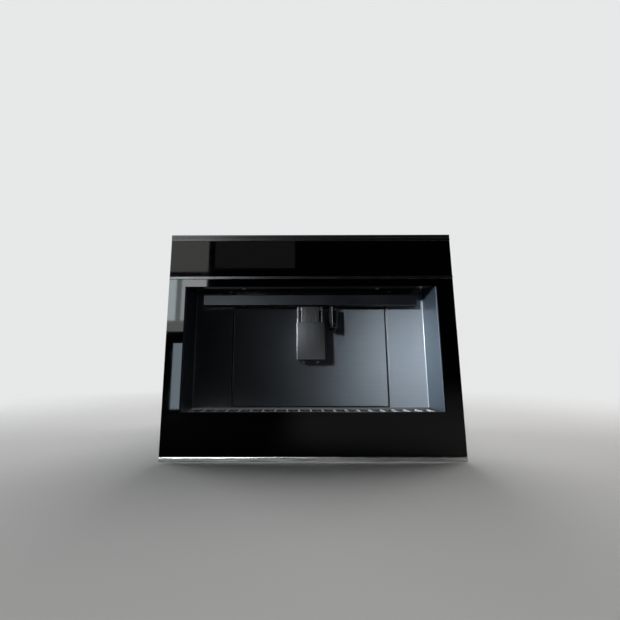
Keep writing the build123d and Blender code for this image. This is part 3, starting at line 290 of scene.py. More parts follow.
def makeGritGroup():
    # the small even pits of moulded plastic and powder paint
    group, start, end = newGroup(
        "fineGrit", [("Size", 900), ("Low", 0.4), ("High", 0.55)],
        ["Height", "Roughness", "Tone"])
    coordinates = group.nodes.new("ShaderNodeTexCoord")
    pits = group.nodes.new("ShaderNodeTexNoise")
    pits.inputs["Detail"].default_value = 3
    cells = group.nodes.new("ShaderNodeTexVoronoi")
    for node in (pits, cells):
        group.links.new(coordinates.outputs["Object"], node.inputs["Vector"])
        group.links.new(start.outputs["Size"], node.inputs["Scale"])
    both = mathNode(group, "ADD", pits.outputs["Fac"], cells.outputs["Distance"])
    clouds = addNoise(group, coordinates.outputs["Object"], {"Scale": 14, "Detail": 4})
    putOut(group, start, end, both.outputs[0], clouds)
    return group


def makeSmudgeGroup():
    # wiped streaks on a polished surface, and a very slight unevenness of the sheet
    group, start, end = newGroup(
        "wipedSmudges",
        [("Along X", 9), ("Along Y", 9), ("Along Z", 26), ("Low", 0.03), ("High", 0.1)],
        ["Height", "Roughness", "Tone"])
    streaks = addNoise(group, stretchedVector(group, start),
                       {"Scale": 1, "Detail": 6, "Distortion": 0.6})
    putOut(group, start, end, streaks, streaks)
    return group


def makeDustGroup():
    # a little dust that lies on faces that look up
    group, start, end = newGroup("settledDust", [("Amount", 0.3)], ["Mask"])
    geometry = group.nodes.new("ShaderNodeNewGeometry")
    split = group.nodes.new("ShaderNodeSeparateXYZ")
    group.links.new(geometry.outputs["Normal"], split.inputs[0])
    up = mathNode(group, "MAXIMUM", split.outputs["Z"], 0)
    coordinates = group.nodes.new("ShaderNodeTexCoord")
    patches = addNoise(group, coordinates.outputs["Object"], {"Scale": 30, "Detail": 6})
    spread = rangeNode(group, patches, *noiseRange, 0.0, start.outputs["Amount"])
    product = mathNode(group, "MULTIPLY", up.outputs[0], spread)
    product.use_clamp = True
    group.links.new(product.outputs[0], end.inputs["Mask"])
    return group


effects = {
    "grain": makeGrainGroup(),
    "grit": makeGritGroup(),
    "smudge": makeSmudgeGroup(),
    "dust": makeDustGroup(),
}
print("node groups made:", len(effects))


# --- materials ---

dustColour = (0.33, 0.31, 0.28)
bumpDepth = 0.0002


def makeMaterial(name, look):
    material = bpy.data.materials.new(name)
    material.use_nodes = True
    tree = material.node_tree
    shader = tree.nodes["Principled BSDF"]
    for socket, value in look.get("shader", {}).items():
        shader.inputs[socket].default_value = value
    shader.inputs["Metallic"].default_value = look.get("metallic", 0)
    effect = tree.nodes.new("ShaderNodeGroup")
    effect.node_tree = effects[look["effect"]]
    for socket, value in look["pattern"].items():
        effect.inputs[socket].default_value = value
    tree.links.new(effect.outputs["Roughness"], shader.inputs["Roughness"])
    colour = mixColours(tree, effect.outputs["Tone"], look["colour"], look["second"])
    if look.get("dust"):
        dust = tree.nodes.new("ShaderNodeGroup")
        dust.node_tree = effects["dust"]
        dust.inputs["Amount"].default_value = look["dust"]
        colour = mixColours(tree, dust.outputs["Mask"], colour, dustColour)
    tree.links.new(colour, shader.inputs["Base Color"])
    if look.get("bump"):
        bump = tree.nodes.new("ShaderNodeBump")
        bump.inputs["Strength"].default_value = look["bump"]
        bump.inputs["Distance"].default_value = bumpDepth
        tree.links.new(effect.outputs["Height"], bump.inputs["Height"])
        tree.links.new(bump.outputs["Normal"], shader.inputs["Normal"])
    return material


alongX = {"Along X": 14, "Along Y": 1100, "Along Z": 1100}
alongY = {"Along X": 1100, "Along Y": 14, "Along Z": 1100}
alongZ = {"Along X": 1100, "Along Y": 1100, "Along Z": 14}

looks = {
    "blackGlass": {
        "effect": "smudge", "colour": (0.004, 0.004, 0.005), "second": (0.006, 0.006, 0.008),
        "pattern": {"Low": 0.02, "High": 0.05}, "shader": {"Specular IOR Level": 0.32}},
    "satinSteel": {
        "effect": "grain", "colour": (0.42, 0.42, 0.43), "second": (0.5, 0.5, 0.51),
        "metallic": 1.0, "pattern": {**alongX, "Low": 0.24, "High": 0.36}, "bump": 0.12},
    # a darker copy of the satin steel: painted shade on the fascia strip and on the drip
    # grille's frame
    "shadedStripSteel": {
        "effect": "grain", "colour": (0.15, 0.152, 0.158), "second": (0.185, 0.187, 0.195),
        "metallic": 1.0, "pattern": {**alongX, "Low": 0.22, "High": 0.34}, "bump": 0.12},
    "brightTrim": {
        "effect": "grain", "colour": (0.62, 0.61, 0.58), "second": (0.7, 0.69, 0.66),
        "metallic": 1.0, "pattern": {**alongX, "Low": 0.2, "High": 0.34}, "bump": 0.12},
    # a paler, less metallic copy of the grille's bright steel for the cup bars: painted
    # highlight
    "highlightBarSteel": {
        "effect": "grain", "colour": (0.45, 0.46, 0.47), "second": (0.55, 0.56, 0.57),
        "metallic": 0.25, "pattern": {**alongY, "Low": 0.3, "High": 0.42}, "bump": 0.1},
    # paler than the niche steel: painted highlight, the light that the bend in each back corner
    # catches
    "cornerHighlightSteel": {
        "effect": "grain", "colour": (0.38, 0.42, 0.46), "second": (0.46, 0.5, 0.54),
        "metallic": 0.3, "pattern": {**alongZ, "Low": 0.3, "High": 0.4}, "bump": 0.05},
    "nicheSteel": {
        "effect": "grain", "colour": (0.19, 0.21, 0.235), "second": (0.225, 0.245, 0.27),
        "metallic": 0.2, "pattern": {**alongX, "Low": 0.34, "High": 0.44}, "bump": 0.1},
    # a darker, bluer copy of the niche steel for the side walls: painted shade
    "shadedWallSteel": {
        "effect": "grain", "colour": (0.07, 0.092, 0.118), "second": (0.084, 0.109, 0.138),
        "metallic": 0.2, "pattern": {**alongZ, "Low": 0.34, "High": 0.44}, "bump": 0.08},
    "beamSteel": {
        "effect": "grit", "colour": (0.035, 0.04, 0.05), "second": (0.05, 0.055, 0.065),
        "metallic": 0.4, "pattern": {"Size": 1400, "Low": 0.3, "High": 0.4}, "bump": 0.08},
    "glossBlack": {
        "effect": "smudge", "colour": (0.006, 0.006, 0.007), "second": (0.01, 0.01, 0.012),
        "pattern": {"Low": 0.08, "High": 0.16}, "shader": {"Coat Weight": 0.2}},
    "outletSteel": {
        "effect": "grain", "colour": (0.2, 0.21, 0.225), "second": (0.25, 0.26, 0.275),
        "metallic": 0.85, "pattern": {**alongZ, "Low": 0.28, "High": 0.4}, "bump": 0.12},
    "neckSteel": {
        "effect": "grain", "colour": (0.26, 0.26, 0.265), "second": (0.34, 0.34, 0.345),
        "metallic": 0.9, "pattern": {**alongZ, "Low": 0.25, "High": 0.4}, "bump": 0.15},
    "blackPlastic": {
        "effect": "grit", "colour": (0.018, 0.018, 0.019), "second": (0.028, 0.028, 0.03),
        "pattern": {"Size": 1500, "Low": 0.42, "High": 0.58}, "bump": 0.25, "dust": 0.06},
    "greyPlastic": {
        "effect": "grit", "colour": (0.15, 0.155, 0.16), "second": (0.19, 0.195, 0.2),
        "pattern": {"Size": 1500, "Low": 0.42, "High": 0.56}, "bump": 0.2, "dust": 0.05},
    "zincSteel": {
        "effect": "grain", "colour": (0.42, 0.43, 0.45), "second": (0.56, 0.57, 0.59),
        "metallic": 0.9, "pattern": {**alongY, "Low": 0.34, "High": 0.5}, "bump": 0.15,
        "dust": 0.12},
    "castAluminium": {
        "effect": "grit", "colour": (0.5, 0.5, 0.5), "second": (0.62, 0.62, 0.62),
        "metallic": 0.9, "pattern": {"Size": 600, "Low": 0.4, "High": 0.55}, "bump": 0.4},
    "groundSteel": {
        "effect": "grain", "colour": (0.55, 0.55, 0.56), "second": (0.68, 0.68, 0.69),
        "metallic": 1.0, "pattern": {**alongX, "Low": 0.14, "High": 0.26}, "bump": 0.1},
    "motorPaint": {
        "effect": "grit", "colour": (0.1, 0.1, 0.105), "second": (0.14, 0.14, 0.145),
        "pattern": {"Size": 900, "Low": 0.35, "High": 0.5}, "bump": 0.2, "dust": 0.08},
    "siliconeHose": {
        "effect": "smudge", "colour": (0.62, 0.62, 0.58), "second": (0.7, 0.7, 0.66),
        "pattern": {"Low": 0.35, "High": 0.5},
        "shader": {"Subsurface Weight": 0.15, "Subsurface Radius": (0.004, 0.004, 0.003)}},
    "circuitBoard": {
        "effect": "smudge", "colour": (0.01, 0.07, 0.035), "second": (0.015, 0.1, 0.05),
        "pattern": {"Low": 0.25, "High": 0.4}, "shader": {"Coat Weight": 0.3}},
    "redPlastic": {
        "effect": "smudge", "colour": (0.45, 0.02, 0.015), "second": (0.52, 0.03, 0.02),
        "pattern": {"Low": 0.2, "High": 0.32}},
    "clearPlastic": {
        "effect": "smudge", "colour": (0.86, 0.9, 0.92), "second": (0.9, 0.93, 0.95),
        "pattern": {"Low": 0.05, "High": 0.14},
        "shader": {"Transmission Weight": 0.9, "IOR": 1.49}},
    "smokePlastic": {
        "effect": "smudge", "colour": (0.12, 0.12, 0.13), "second": (0.16, 0.16, 0.17),
        "pattern": {"Low": 0.06, "High": 0.16},
        "shader": {"Transmission Weight": 0.6, "IOR": 1.49}},
    "lampLens": {
        "effect": "smudge", "colour": (0.7, 0.72, 0.72), "second": (0.8, 0.82, 0.82),
        "pattern": {"Low": 0.12, "High": 0.25}, "shader": {"Transmission Weight": 0.3}},
}
materials = {name: makeMaterial(name, look) for name, look in looks.items()}
print("materials made:", len(materials))

slotLooks = {
    "black_glass": "blackGlass", "satin_steel": "satinSteel", "bright_steel": "brightTrim",
    "niche_steel": "nicheSteel", "dark_steel": "beamSteel", "gloss_black": "glossBlack",
    "black_plastic": "blackPlastic", "grey_plastic": "greyPlastic",
    "clear_plastic": "clearPlastic", "smoke_plastic": "smokePlastic",
    "red_plastic": "redPlastic", "lamp_lens": "lampLens", "zinc_steel": "zincSteel",
    "cast_aluminium": "castAluminium", "burr_steel": "groundSteel",
    "motor_steel": "motorPaint", "hose_silicone": "siliconeHose",
    "circuit_board": "circuitBoard",
}
# the side walls and the fascia strip take darker copies of their steel: painted shade
nodeLooks = {
    "outlet_cover": "outletSteel", "outlet_neck": "neckSteel", "niche_left_wall": "shadedWallSteel",
    "niche_right_wall": "shadedWallSteel", "fascia_frame": "shadedStripSteel",
}
for part in frame["record"]["subparts"]:
    node = nodes[part["node"]]
    material = materials[nodeLooks.get(part["node"], slotLooks[part["material_slot"]])]
    node.data.materials.clear()
    node.data.materials.append(material)
print("CAD nodes dressed")


# --- drip grille: a frame with rounded bars, low ones between the cup bars ---

grilleShape = {
    "border": 0.004, "lowDrop": 0.0012, "halfPitch": 0.0126, "cupBar": 0.004,
    "lowBar": 0.0026, "rounding": 0.0007, "intoBorder": 0.0006, "barFoot": 0.0005,
    "endRadius": 0.0022, "topEdge": 1e-5,
}


def makeGrille(shape):
    # the frame with its low bars is one piece, the cup bars are another, so that the frame
    # carries painted shade and the cup bars a painted highlight
    low, high = (Vector(corner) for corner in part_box("drip_grille"))
    pieces = {True: [], False: []}
    base = addBlock("grilleFrame", low, (high.x, high.y, high.z - shape["lowDrop"]))
    makeOpening(base, shape["border"], "z")
    bevelEdges(base, shape["rounding"], 2)
    pieces[False].append(base)
    halfCount = int(((high.x - low.x) / 2 - shape["border"]) / shape["halfPitch"])
    inner = shape["border"] - shape["intoBorder"]
    for cup in (True, False):
        width = shape["cupBar"] if cup else shape["lowBar"]
        top = high.z if cup else high.z - shape["lowDrop"]
        first = addBlock(
            "grilleBar", (-width / 2, low.y + inner, low.z + shape["barFoot"]),
            (width / 2, high.y - inner, top))
        if cup:
            selectEdges(first, lambda a, b: min(a.z, b.z) > top - shape["topEdge"]
                        and abs(a.x - b.x) > shape["topEdge"])
            bpy.ops.mesh.bevel(offset=shape["endRadius"], segments=4)
            leaveEdit()
        bevelEdges(first, shape["rounding"], 3)
        start = 0 if cup else 1
        for side in (1, -1):
            for i in range(start, halfCount + 1, 2):
                if i == 0 and side < 0:
                    continue
                bar = copyPiece(first, (side * i * shape["halfPitch"], 0, 0))
                pieces[cup].append(bar)
        bpy.data.objects.remove(first)
    return joinPieces(pieces[False], "dripGrille"), joinPieces(pieces[True], "cupBars")


grille, cupBars = makeGrille(grilleShape)
# one steel in the grille, painted darker on the frame and paler on the cup bars
finishPiece(grille, materials["shadedStripSteel"], "drip_grille", "bright_steel", "drip_grille")
finishPiece(cupBars, materials["highlightBarSteel"], "drip_grille", "bright_steel")
print("grille made")


# --- coffee outlet: a cover with soft upright edges ---

outletShape = {"wall": 0.0012, "corner": 0.0026, "rim": 0.0006, "rimAngle": 50}


def makeOutletCover(shape):
    low, high = (Vector(corner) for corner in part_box("outlet_cover"))
    cover = addBlock("outletCover", low, high)
    roundUprights(cover, shape["corner"], 8)
    selectFaces(cover, lambda centre, normal: normal.z > faces)
    bpy.ops.mesh.inset(thickness=shape["wall"], depth=0)
    bpy.ops.mesh.extrude_region_move(
        TRANSFORM_OT_translate={"value": (0, 0, -(high.z - low.z) + shape["wall"])})
    leaveEdit()
    bevelEdges(cover, shape["rim"], 3, shape["rimAngle"])
    return cover


cover = makeOutletCover(outletShape)
finishPiece(cover, materials["outletSteel"], "outlet", "satin_steel", "outlet_cover")
print("outlet cover made")


# --- hot water nozzle: bright rings round the black body ---

ringShape = {
    "centre": (0.050, -0.1875), "radius": 0.01095, "thickness": 0.0009,
    "heights": (0.2655, 0.2725, 0.3045), "flatten": 0.55,
}


def makeRings(shape):
    rings = []
    for height in shape["heights"]:
        deselectAll()
        bpy.ops.mesh.primitive_torus_add(
            location=(*shape["centre"], height), major_segments=64, minor_segments=12,
            major_radius=shape["radius"], minor_radius=shape["thickness"])
        ring = bpy.context.active_object
        ring.scale = (1, 1, shape["flatten"])
        applyPlace(ring)
        rings.append(ring)
    return joinPieces(rings, "nozzleRings")


rings = makeRings(ringShape)
finishPiece(rings, materials["groundSteel"], "service_door", "bright_steel")
print("nozzle rings made")


# --- niche: a black frame over the rim of the door, painted shade of the door gap, and a pale bead in each upright corner, painted highlight ---

gapShadeShape = {"width": 0.0022, "proud": 0.0004, "deep": 0.0006, "rounding": 0.0002}
beadShape = {
    "x": 0.2582, "y": -0.1608, "bottom": 0.0940, "top": 0.3458, "radius": 0.0016,
    "rounding": 0.0003,
}


# a black strip over the edge of the door skin stands in for the shade in the gap round the door:
# painted shade
def makeDoorGapShade(shape):
    low, high = (Vector(corner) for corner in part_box("service_door_skin"))
    gapShade = addBlock("doorGapShade", (low.x, low.y - shape["proud"], low.z),
                    (high.x, low.y + shape["deep"], high.z))
    makeOpening(gapShade, shape["width"], "y")
    bevelEdges(gapShade, shape["rounding"], 2)
    return gapShade


# a pale rod in each back corner of the niche: painted highlight of the bend
def makeCornerHighlightBeads(shape):
    beads = []
    for side in (-1, 1):
        bead = addRound("bead", (side * shape["x"], shape["y"], shape["bottom"]),
                        (side * shape["x"], shape["y"], shape["top"]), shape["radius"], 32)
        bevelEdges(bead, shape["rounding"], 2)
        beads.append(bead)
    return joinPieces(beads, "cornerHighlightBeads")


finishPiece(makeDoorGapShade(gapShadeShape), materials["blackPlastic"], "service_door", "black_plastic")
finishPiece(makeCornerHighlightBeads(beadShape), materials["cornerHighlightSteel"], "machine", "niche_steel")
print("niche seal and beads made")


# --- screws of the panels: domed heads with a cross recess ---

screwShape = {
    "head": 0.0036, "height": 0.0017, "rim": 0.0009, "dome": 0.0002, "rounding": 0.0004,
    "slotLong": 0.0022, "slotWide": 0.0007, "slotBottom": 0.0009, "slotTop": 0.004,
    "sideX": 0.266, "rearY": 0.2355, "coverZ": 0.4412, "frontY": -0.2375,
    # places in millimetres: depth and height, x and height, x and depth
    "onSides": ((40, 424), (250, 424), (455, 424), (40, 90), (455, 90)),
    "onRear": ((-255, 25), (0, 25), (255, 25), (-255, 230), (255, 230), (-255, 428),
               (0, 428), (255, 428)),
    "onCover": ((-240, 60), (0, 60), (240, 60), (-100, 440), (240, 440)),
}


def makeScrew(shape):
    # one head that looks along +Z, with its seat at the origin
    head = addRound("screwHead", (0, 0, 0), (0, 0, shape["height"]), shape["head"], 24)
    selectFaces(head, lambda centre, normal: normal.z > faces)
    bpy.ops.mesh.inset(thickness=shape["rim"], depth=0)
    bpy.ops.transform.translate(value=(0, 0, shape["dome"]))
    leaveEdit()
    bevelEdges(head, shape["rounding"], 3)
    slot = (shape["slotLong"], shape["slotWide"])
    for halfX, halfY in (slot, slot[::-1]):
        carveOut(head, addBlock("cut", (-halfX, -halfY, shape["slotBottom"]),
                                (halfX, halfY, shape["slotTop"])))
    return head


def placeScrews(shape):
    screw = makeScrew(shape)
    places = []
    for depth, z in shape["onSides"]:
        y = shape["frontY"] + depth / 1000
        for side in (1, -1):
            places.append(((side * shape["sideX"], y, z / 1000), (0, side * math.pi / 2, 0)))
    for x, z in shape["onRear"]:
        places.append(((x / 1000, shape["rearY"], z / 1000), (-math.pi / 2, 0, 0)))
    for x, depth in shape["onCover"]:
        y = shape["frontY"] + depth / 1000
        places.append(((x / 1000, y, shape["coverZ"]), (0, 0, 0)))
    copies = []
    for place, turn in places:
        twin = copyPiece(screw, (0, 0, 0))
        twin.location = place
        twin.rotation_euler = turn
        copies.append(twin)
    bpy.data.objects.remove(screw)
    return joinPieces(copies, "panelScrewHeads")


screws = placeScrews(screwShape)
finishPiece(screws, materials["groundSteel"], "machine", "bright_steel", "panel_screws")
print("screws made")


# --- lids on top: a raised panel with a finger recess on each flap ---

padShapes = {
    "bean_lid": {
        "name": "beanLidPad", "side": 0.010, "front": 0.008, "hinge": 0.024, "corner": 0.006,
        "recessLong": 0.05, "recessWide": 0.012, "recessInset": 0.014,
    },
    "ground_coffee_lid": {
        "name": "groundLidPad", "side": 0.010, "front": 0.004, "hinge": 0.0175,
        "corner": 0.003, "recessLong": 0.02, "recessWide": 0.007, "recessInset": 0.007,
    },
}
padFaces = {"bottom": 0.4465, "height": 0.001, "recess": 0.0008, "rim": 0.0004, "over": 0.01,
            "flatEnd": 0.0002}


def makeLidPad(lid, shape, levels):
    low, high = (Vector(corner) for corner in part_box(lid))
    bottom, top = levels["bottom"], levels["bottom"] + levels["height"]
    pad = addBlock(shape["name"], (low.x + shape["side"], low.y + shape["front"], bottom),
                   (high.x - shape["side"], high.y - shape["hinge"], top))
    roundUprights(pad, shape["corner"], 8)
    middle, front = (low.x + high.x) / 2, low.y + shape["front"] + shape["recessInset"]
    halfLong, halfWide = shape["recessLong"] / 2, shape["recessWide"] / 2
    cut = addBlock("cut", (middle - halfLong, front - halfWide, top - levels["recess"]),
                   (middle + halfLong, front + halfWide, bottom + levels["over"]))
    roundUprights(cut, halfWide - levels["flatEnd"], 10)
    carveOut(pad, cut)
    bevelEdges(pad, levels["rim"], 2)
    return pad


for lid, shape in padShapes.items():
    finishPiece(makeLidPad(lid, shape, padFaces), materials["glossBlack"], lid, "gloss_black")
print("lid pads made")


# --- grind dial: a pointer on the knob, and marks on the cover that grow round it ---

dialShape = {
    "centre": (0.218, 0.0625), "knobTop": 0.4492, "coverTop": 0.4412, "height": 0.0003,
    "inner": 0.0178, "marks": 11, "sweep": 240, "short": 0.0012, "long": 0.0030,
    "width": 0.0007, "rounding": 0.0001, "pointer": (0.0055, 0.0135), "pointerAngle": 90,
}


def addRay(name, angle, start, end, bottom, shape):
    # a flat bar that points away from the dial's centre
    bar = addBlock(name, (start, -shape["width"] / 2, bottom),
                   (end, shape["width"] / 2, bottom + shape["height"]))
    bevelEdges(bar, shape["rounding"], 2)
    bar.rotation_euler = (0, 0, math.radians(angle))
    bar.location = (*shape["centre"], 0)
    applyPlace(bar)
    return bar


def makeDialMarks(shape):
    marks = []
    for i in range(shape["marks"]):
        share = i / (shape["marks"] - 1)
        angle = shape["pointerAngle"] + shape["sweep"] * (0.5 - share)
        reach = shape["short"] + (shape["long"] - shape["short"]) * share
        marks.append(addRay("mark", angle, shape["inner"], shape["inner"] + reach,
                            shape["coverTop"], shape))
    return joinPieces(marks, "dialMarks")


finishPiece(makeDialMarks(dialShape), materials["blackPlastic"], "machine", "black_plastic")
pointer = addRay("dialPointer", dialShape["pointerAngle"], *dialShape["pointer"],
                 dialShape["knobTop"], dialShape)
finishPiece(pointer, materials["groundSteel"], "grind_dial", "bright_steel")
print("dial marks made")


# --- floor, light and camera ---

studio = {
    "floorSize": 14.0, "floorColour": (0.62, 0.62, 0.615), "floorRoughness": 0.9,
    "floorSpecular": 0.1, "floorBounce": (0.025, 0.025, 0.026),
    "backdrop": (0.80, 0.805, 0.81), "fill": (0.8, 0.87, 1.0), "fillStrength": 0.004,
    # mirrorFade and mirrorShare darken the floor in glass and metal in front of the left half:
    # painted reflection shade
    "sweep": (0.7, 2.6), "mirrorFade": (-0.12, 0.03), "mirrorShare": 0.8,
    # how bright the surroundings are in glass and metal, in front and behind
    "frontLevel": 0.012, "backLevel": 0.6, "levelFade": (-0.55, 0.25),
}


def seenRays(tree, path):
    # rays that show the backdrop as it is: the camera's, and those through clear pieces
    seen = mathNode(tree, "MAXIMUM", path.outputs["Is Camera Ray"],
                    path.outputs["Is Transmission Ray"])
    return seen.outputs[0]


def makeFloor(settings):
    # pale where it is seen, and dim for the light that it throws back on the machine
    deselectAll()
    bpy.ops.mesh.primitive_plane_add(size=settings["floorSize"], location=(0, 0, 0))
    floor = bpy.context.active_object
    floor.name = "floor"
    material = bpy.data.materials.new("paleFloor")
    material.use_nodes = True
    tree = material.node_tree
    shader = tree.nodes["Principled BSDF"]
    shader.inputs["Roughness"].default_value = settings["floorRoughness"]
    shader.inputs["Specular IOR Level"].default_value = settings["floorSpecular"]
    path = tree.nodes.new("ShaderNodeLightPath")
    seen = seenRays(tree, path)
    # glass and metal mirror it too, darker in front of the machine's left half: a painted
    # reflection shade
    coordinates = tree.nodes.new("ShaderNodeTexCoord")
    across = tree.nodes.new("ShaderNodeSeparateXYZ")
    tree.links.new(coordinates.outputs["Object"], across.inputs[0])
    side = rangeNode(tree, across.outputs["X"], *settings["mirrorFade"],
                     high=settings["mirrorShare"], smooth=True)
    mirrored = mathNode(tree, "MULTIPLY_ADD", path.outputs["Is Glossy Ray"], side, seen)
    tones = mixColours(tree, mirrored.outputs[0], settings["floorBounce"],
                       settings["floorColour"])
    tree.links.new(tones, shader.inputs["Base Color"])
    # far from the machine the floor runs into the backdrop
    distance = tree.nodes.new("ShaderNodeVectorMath")
    distance.operation = "LENGTH"
    tree.links.new(coordinates.outputs["Object"], distance.inputs[0])
    fade = rangeNode(tree, distance.outputs["Value"], *settings["sweep"], smooth=True)
    share = mathNode(tree, "MULTIPLY", fade, seen)
    sweep = tree.nodes.new("ShaderNodeEmission")
    sweep.inputs["Color"].default_value = (*settings["backdrop"], 1)
    both = tree.nodes.new("ShaderNodeMixShader")
    tree.links.new(share.outputs[0], both.inputs[0])
    tree.links.new(shader.outputs[0], both.inputs[1])
    tree.links.new(sweep.outputs[0], both.inputs[2])
    tree.links.new(both.outputs[0], tree.nodes["Material Output"].inputs["Surface"])
    floor.data.materials.append(material)


def makeWorld(settings):
    # a pale backdrop, a weak even fill, and a darker half in front of the machine
    world = bpy.data.worlds.new("studio")
    bpy.context.scene.world = world
    world.use_nodes = True
    tree = world.node_tree
    tree.nodes.clear()
    output = tree.nodes.new("ShaderNodeOutputWorld")
    path = tree.nodes.new("ShaderNodeLightPath")
    pale = tree.nodes.new("ShaderNodeBackground")
    pale.inputs["Color"].default_value = (*settings["backdrop"], 1)
    fill = tree.nodes.new("ShaderNodeBackground")
    fill.inputs["Color"].default_value = (*settings["fill"], 1)
    fill.inputs["Strength"].default_value = settings["fillStrength"]
    around = tree.nodes.new("ShaderNodeBackground")
    direction = tree.nodes.new("ShaderNodeTexCoord")
    split = tree.nodes.new("ShaderNodeSeparateXYZ")
    tree.links.new(direction.outputs["Generated"], split.inputs[0])
    fade = rangeNode(tree, split.outputs["Y"], *settings["levelFade"],
                     settings["frontLevel"], settings["backLevel"], smooth=True)
    tree.links.new(fade, around.inputs["Strength"])
    first = tree.nodes.new("ShaderNodeMixShader")
    tree.links.new(path.outputs["Is Glossy Ray"], first.inputs[0])
    tree.links.new(fill.outputs[0], first.inputs[1])
    tree.links.new(around.outputs[0], first.inputs[2])
    second = tree.nodes.new("ShaderNodeMixShader")
    tree.links.new(seenRays(tree, path), second.inputs[0])
    tree.links.new(first.outputs[0], second.inputs[1])
    tree.links.new(pale.outputs[0], second.inputs[2])
    tree.links.new(second.outputs[0], output.inputs["Surface"])


makeFloor(studio)
makeWorld(studio)

softBoxes = [
    # name, place, aim, width, height, power, colour
    ("topSoft", (0.3, 0.7, 2.6), (0.0, 0.2, 0.2), 2.2, 2.2, 36, (1.0, 0.99, 0.97)),
    ("leftSoft", (-2.2, 0.9, 1.2), (-0.2, 0.1, 0.2), 1.5, 1.5, 26, (0.95, 0.98, 1.0)),
    ("rightSoft", (2.2, 0.9, 1.2), (0.2, 0.1, 0.2), 1.5, 1.5, 22, (1.0, 0.99, 0.97)),
    ("rearSoft", (0.3, 2.6, 1.4), (0.0, 0.2, 0.2), 1.6, 1.4, 26, (1.0, 0.99, 0.98)),
    ("windowSide", (-1.9, -0.85, 0.62), (0.0, -0.2, 0.2), 0.8, 1.0, 1.5, (0.86, 0.93, 1.0)),
]
glints = [
    # name, distance in front, left, right, bottom, top, brightness, colour
    ("paneRight", 3.2, -1.25, -0.98, 0.70, 1.17, 9.0, (0.93, 0.98, 0.97)),
    ("paneMiddle", 3.2, -1.305, -1.25, 0.70, 1.17, 3.6, (0.86, 0.97, 1.0)),
    ("paneLeft", 3.2, -1.46, -1.305, 0.70, 1.17, 12.0, (0.86, 0.97, 1.0)),
    ("paneRail", 3.2, -1.46, -1.17, 0.585, 0.70, 3.2, (1.0, 1.0, 0.98)),
    ("paneLow", 1.0, -0.545, -0.495, 0.018, 0.288, 6.4, (0.72, 0.88, 1.0)),
    ("paneHigh", 3.2, -1.46, -0.97, 1.24, 1.72, 1.7, (1.0, 1.0, 0.95)),
    ("roomWall", 3.2, -0.90, -0.02, 1.28, 1.62, 0.22, (0.95, 0.97, 1.0)),
]
spots = [
    # name, aim, radius of the pool of light at the aim, edge softness, power, pieces
    ("poolUpper", (0.252, -0.1615, 0.275), 0.14, 0.8, 165, "lining"),
    ("poolLower", (0.252, -0.1615, 0.14), 0.15, 0.8, 200, "lining"),
    ("poolMiddle", (0.22, -0.1615, 0.12), 0.24, 1.0, 62, "lining"),
    ("poolLarge", (0.20, -0.1615, 0.21), 0.34, 1.0, 9, "lining"),
    ("poolOutlet", (-0.034, -0.2, 0.25), 0.07, 1.0, 38, "outlet"),
    ("poolBar", (-0.031, -0.185, 0.292), 0.014, 0.8, 90, "neck"),
]
spotPlace = (-0.87, -1.80, 0.67)
spotColour = (0.88, 0.95, 1.0)
spotSize = {"lining": 0.08, "outlet": 0.02, "neck": 0.02}   # small lamps cast sharp edges
innerSlots = {
    "grey_plastic", "black_plastic", "cast_aluminium", "motor_steel", "hose_silicone",
    "circuit_board", "red_plastic", "clear_plastic", "smoke_plastic", "zinc_steel",
    "burr_steel"}
innerNodes = [part["node"] for part in frame["record"]["subparts"]
              if part["material_slot"] in innerSlots]
accents = [
    # name, place, aim, width, height, power, the pieces that it lights
    ("trimLight", (-0.7, -2.0, 0.8), (0, -0.2, 0.05), 0.9, 0.7, 60, ("bottom_trim",)),
    ("barLight", (-0.7, -2.0, 0.8), (0, -0.2, 0.09), 0.9, 0.7, 60, ("cupBars",)),
    ("edgeLight", (-1.5, -0.62, 0.5), (0, -0.19, 0.25), 0.22, 0.9, 20,
     ("outletCover", "nozzleRings")),
    ("nozzleLight", (-0.5, -1.3, 1.0), (0.05, -0.19, 0.28), 0.12, 0.5, 3,
     ("hot_water_nozzle", "nozzleRings", "niche_lamps")),
    ("beamLight", (-0.55, -1.9, 0.3), (-0.06, -0.19, 0.33), 0.4, 0.3, 6,
     ("light_beam", "niche_ceiling")),
    ("innerLight", (0.30, -1.7, 0.75), (0.05, 0.05, 0.2), 0.5, 0.5, 36, innerNodes),
]
accentColour = (0.92, 0.97, 1.0)
poolPieces = {
    "lining": (
        "left_back_panel", "right_back_panel", "service_door_skin", "niche_left_wall",
        "niche_right_wall", "niche_floor", "dripGrille", "cupBars", "drip_tray",
        "tray_float", "outlet_nozzles", "cornerHighlightBeads"),
    "outlet": ("outletCover", "outlet_neck"), "neck": ("outlet_neck",),
}


def hangLamp(name, lamp, place, aim, colour):
    lamp.color = colour
    holder = bpy.data.objects.new(name, lamp)
    bpy.context.collection.objects.link(holder)
    holder.location = place
    towards = Vector(aim) - Vector(place)
    holder.rotation_euler = towards.to_track_quat("-Z", "Y").to_euler()
    return holder


def lightOnly(holder, names):
    # light linking: the lamp lights only the named pieces
    group = bpy.data.collections.new(holder.name)
    for name in names:
        group.objects.link(bpy.data.objects[name])
    holder.light_linking.receiver_collection = group


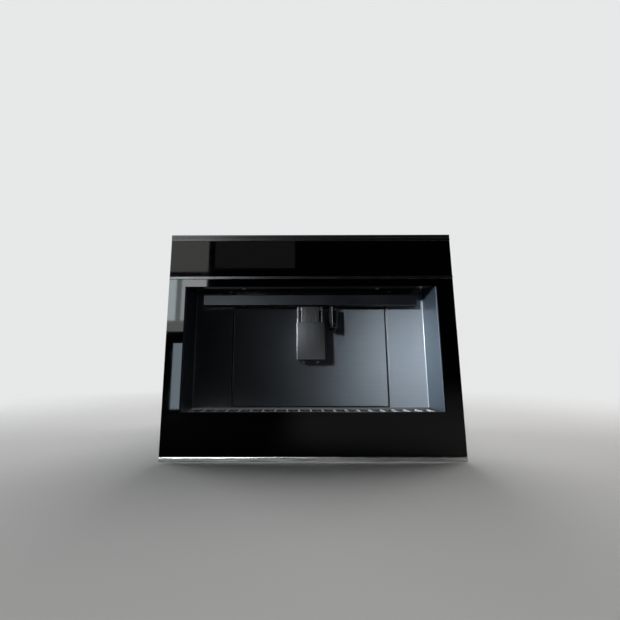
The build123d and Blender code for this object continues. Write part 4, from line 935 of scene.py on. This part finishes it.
def softBox(name, width, height, power):
    lamp = bpy.data.lights.new(name, "AREA")
    lamp.shape = "RECTANGLE"
    lamp.size = width
    lamp.size_y = height
    lamp.energy = power
    return lamp


for name, place, aim, width, height, power, colour in softBoxes:
    hangLamp(name, softBox(name, width, height, power), place, aim, colour)
matt = {"niche_left_wall", "niche_right_wall", "left_back_panel", "right_back_panel",
        "service_door_skin", "service_door_liner", "niche_floor", "light_beam"}
glossy = [piece.name for piece in bpy.context.scene.objects
          if piece.type == "MESH" and piece.name not in matt]   # only these show the glints
for name, ahead, left, right, bottom, top, brightness, colour in glints:
    width, height = right - left, top - bottom
    lamp = softBox(name, width, height, math.pi * width * height * brightness)
    place = ((left + right) / 2, -ahead, (bottom + top) / 2)
    glint = hangLamp(name, lamp, place, (place[0], 0, place[2]), colour)
    glint.visible_diffuse = False
    glint.visible_camera = False
    lightOnly(glint, glossy)
for name, place, aim, width, height, power, lit in accents:
    accent = hangLamp(name, softBox(name, width, height, power), place, aim, accentColour)
    lightOnly(accent, lit)
for name, aim, radius, softness, power, lit in spots:
    lamp = bpy.data.lights.new(name, "SPOT")
    reach = (Vector(aim) - Vector(spotPlace)).length
    lamp.spot_size = 2 * math.atan(radius / reach)
    lamp.spot_blend = softness
    lamp.shadow_soft_size = spotSize[lit]
    lamp.energy = power
    lightOnly(hangLamp(name, lamp, spotPlace, aim, spotColour), poolPieces[lit])

view = {
    "place": (-0.0367, -0.9442, 0.1730), "pitch": 9.91, "roll": 0.09, "yaw": 0.153,
    "lens": 20.15, "sensor": 36, "sideShift": 0.0279, "nearest": 0.01,
}
camera = bpy.data.cameras.new("camera")
camera.lens = view["lens"]
camera.sensor_width = view["sensor"]
camera.shift_x = view["sideShift"]
camera.clip_start = view["nearest"]
holder = bpy.data.objects.new("camera", camera)
bpy.context.collection.objects.link(holder)
holder.location = view["place"]
holder.rotation_euler = (
    math.radians(90 + view["pitch"]), math.radians(view["roll"]), math.radians(view["yaw"]))
bpy.context.scene.camera = holder
bpy.context.scene.view_settings.view_transform = "Standard"
print("studio ready")
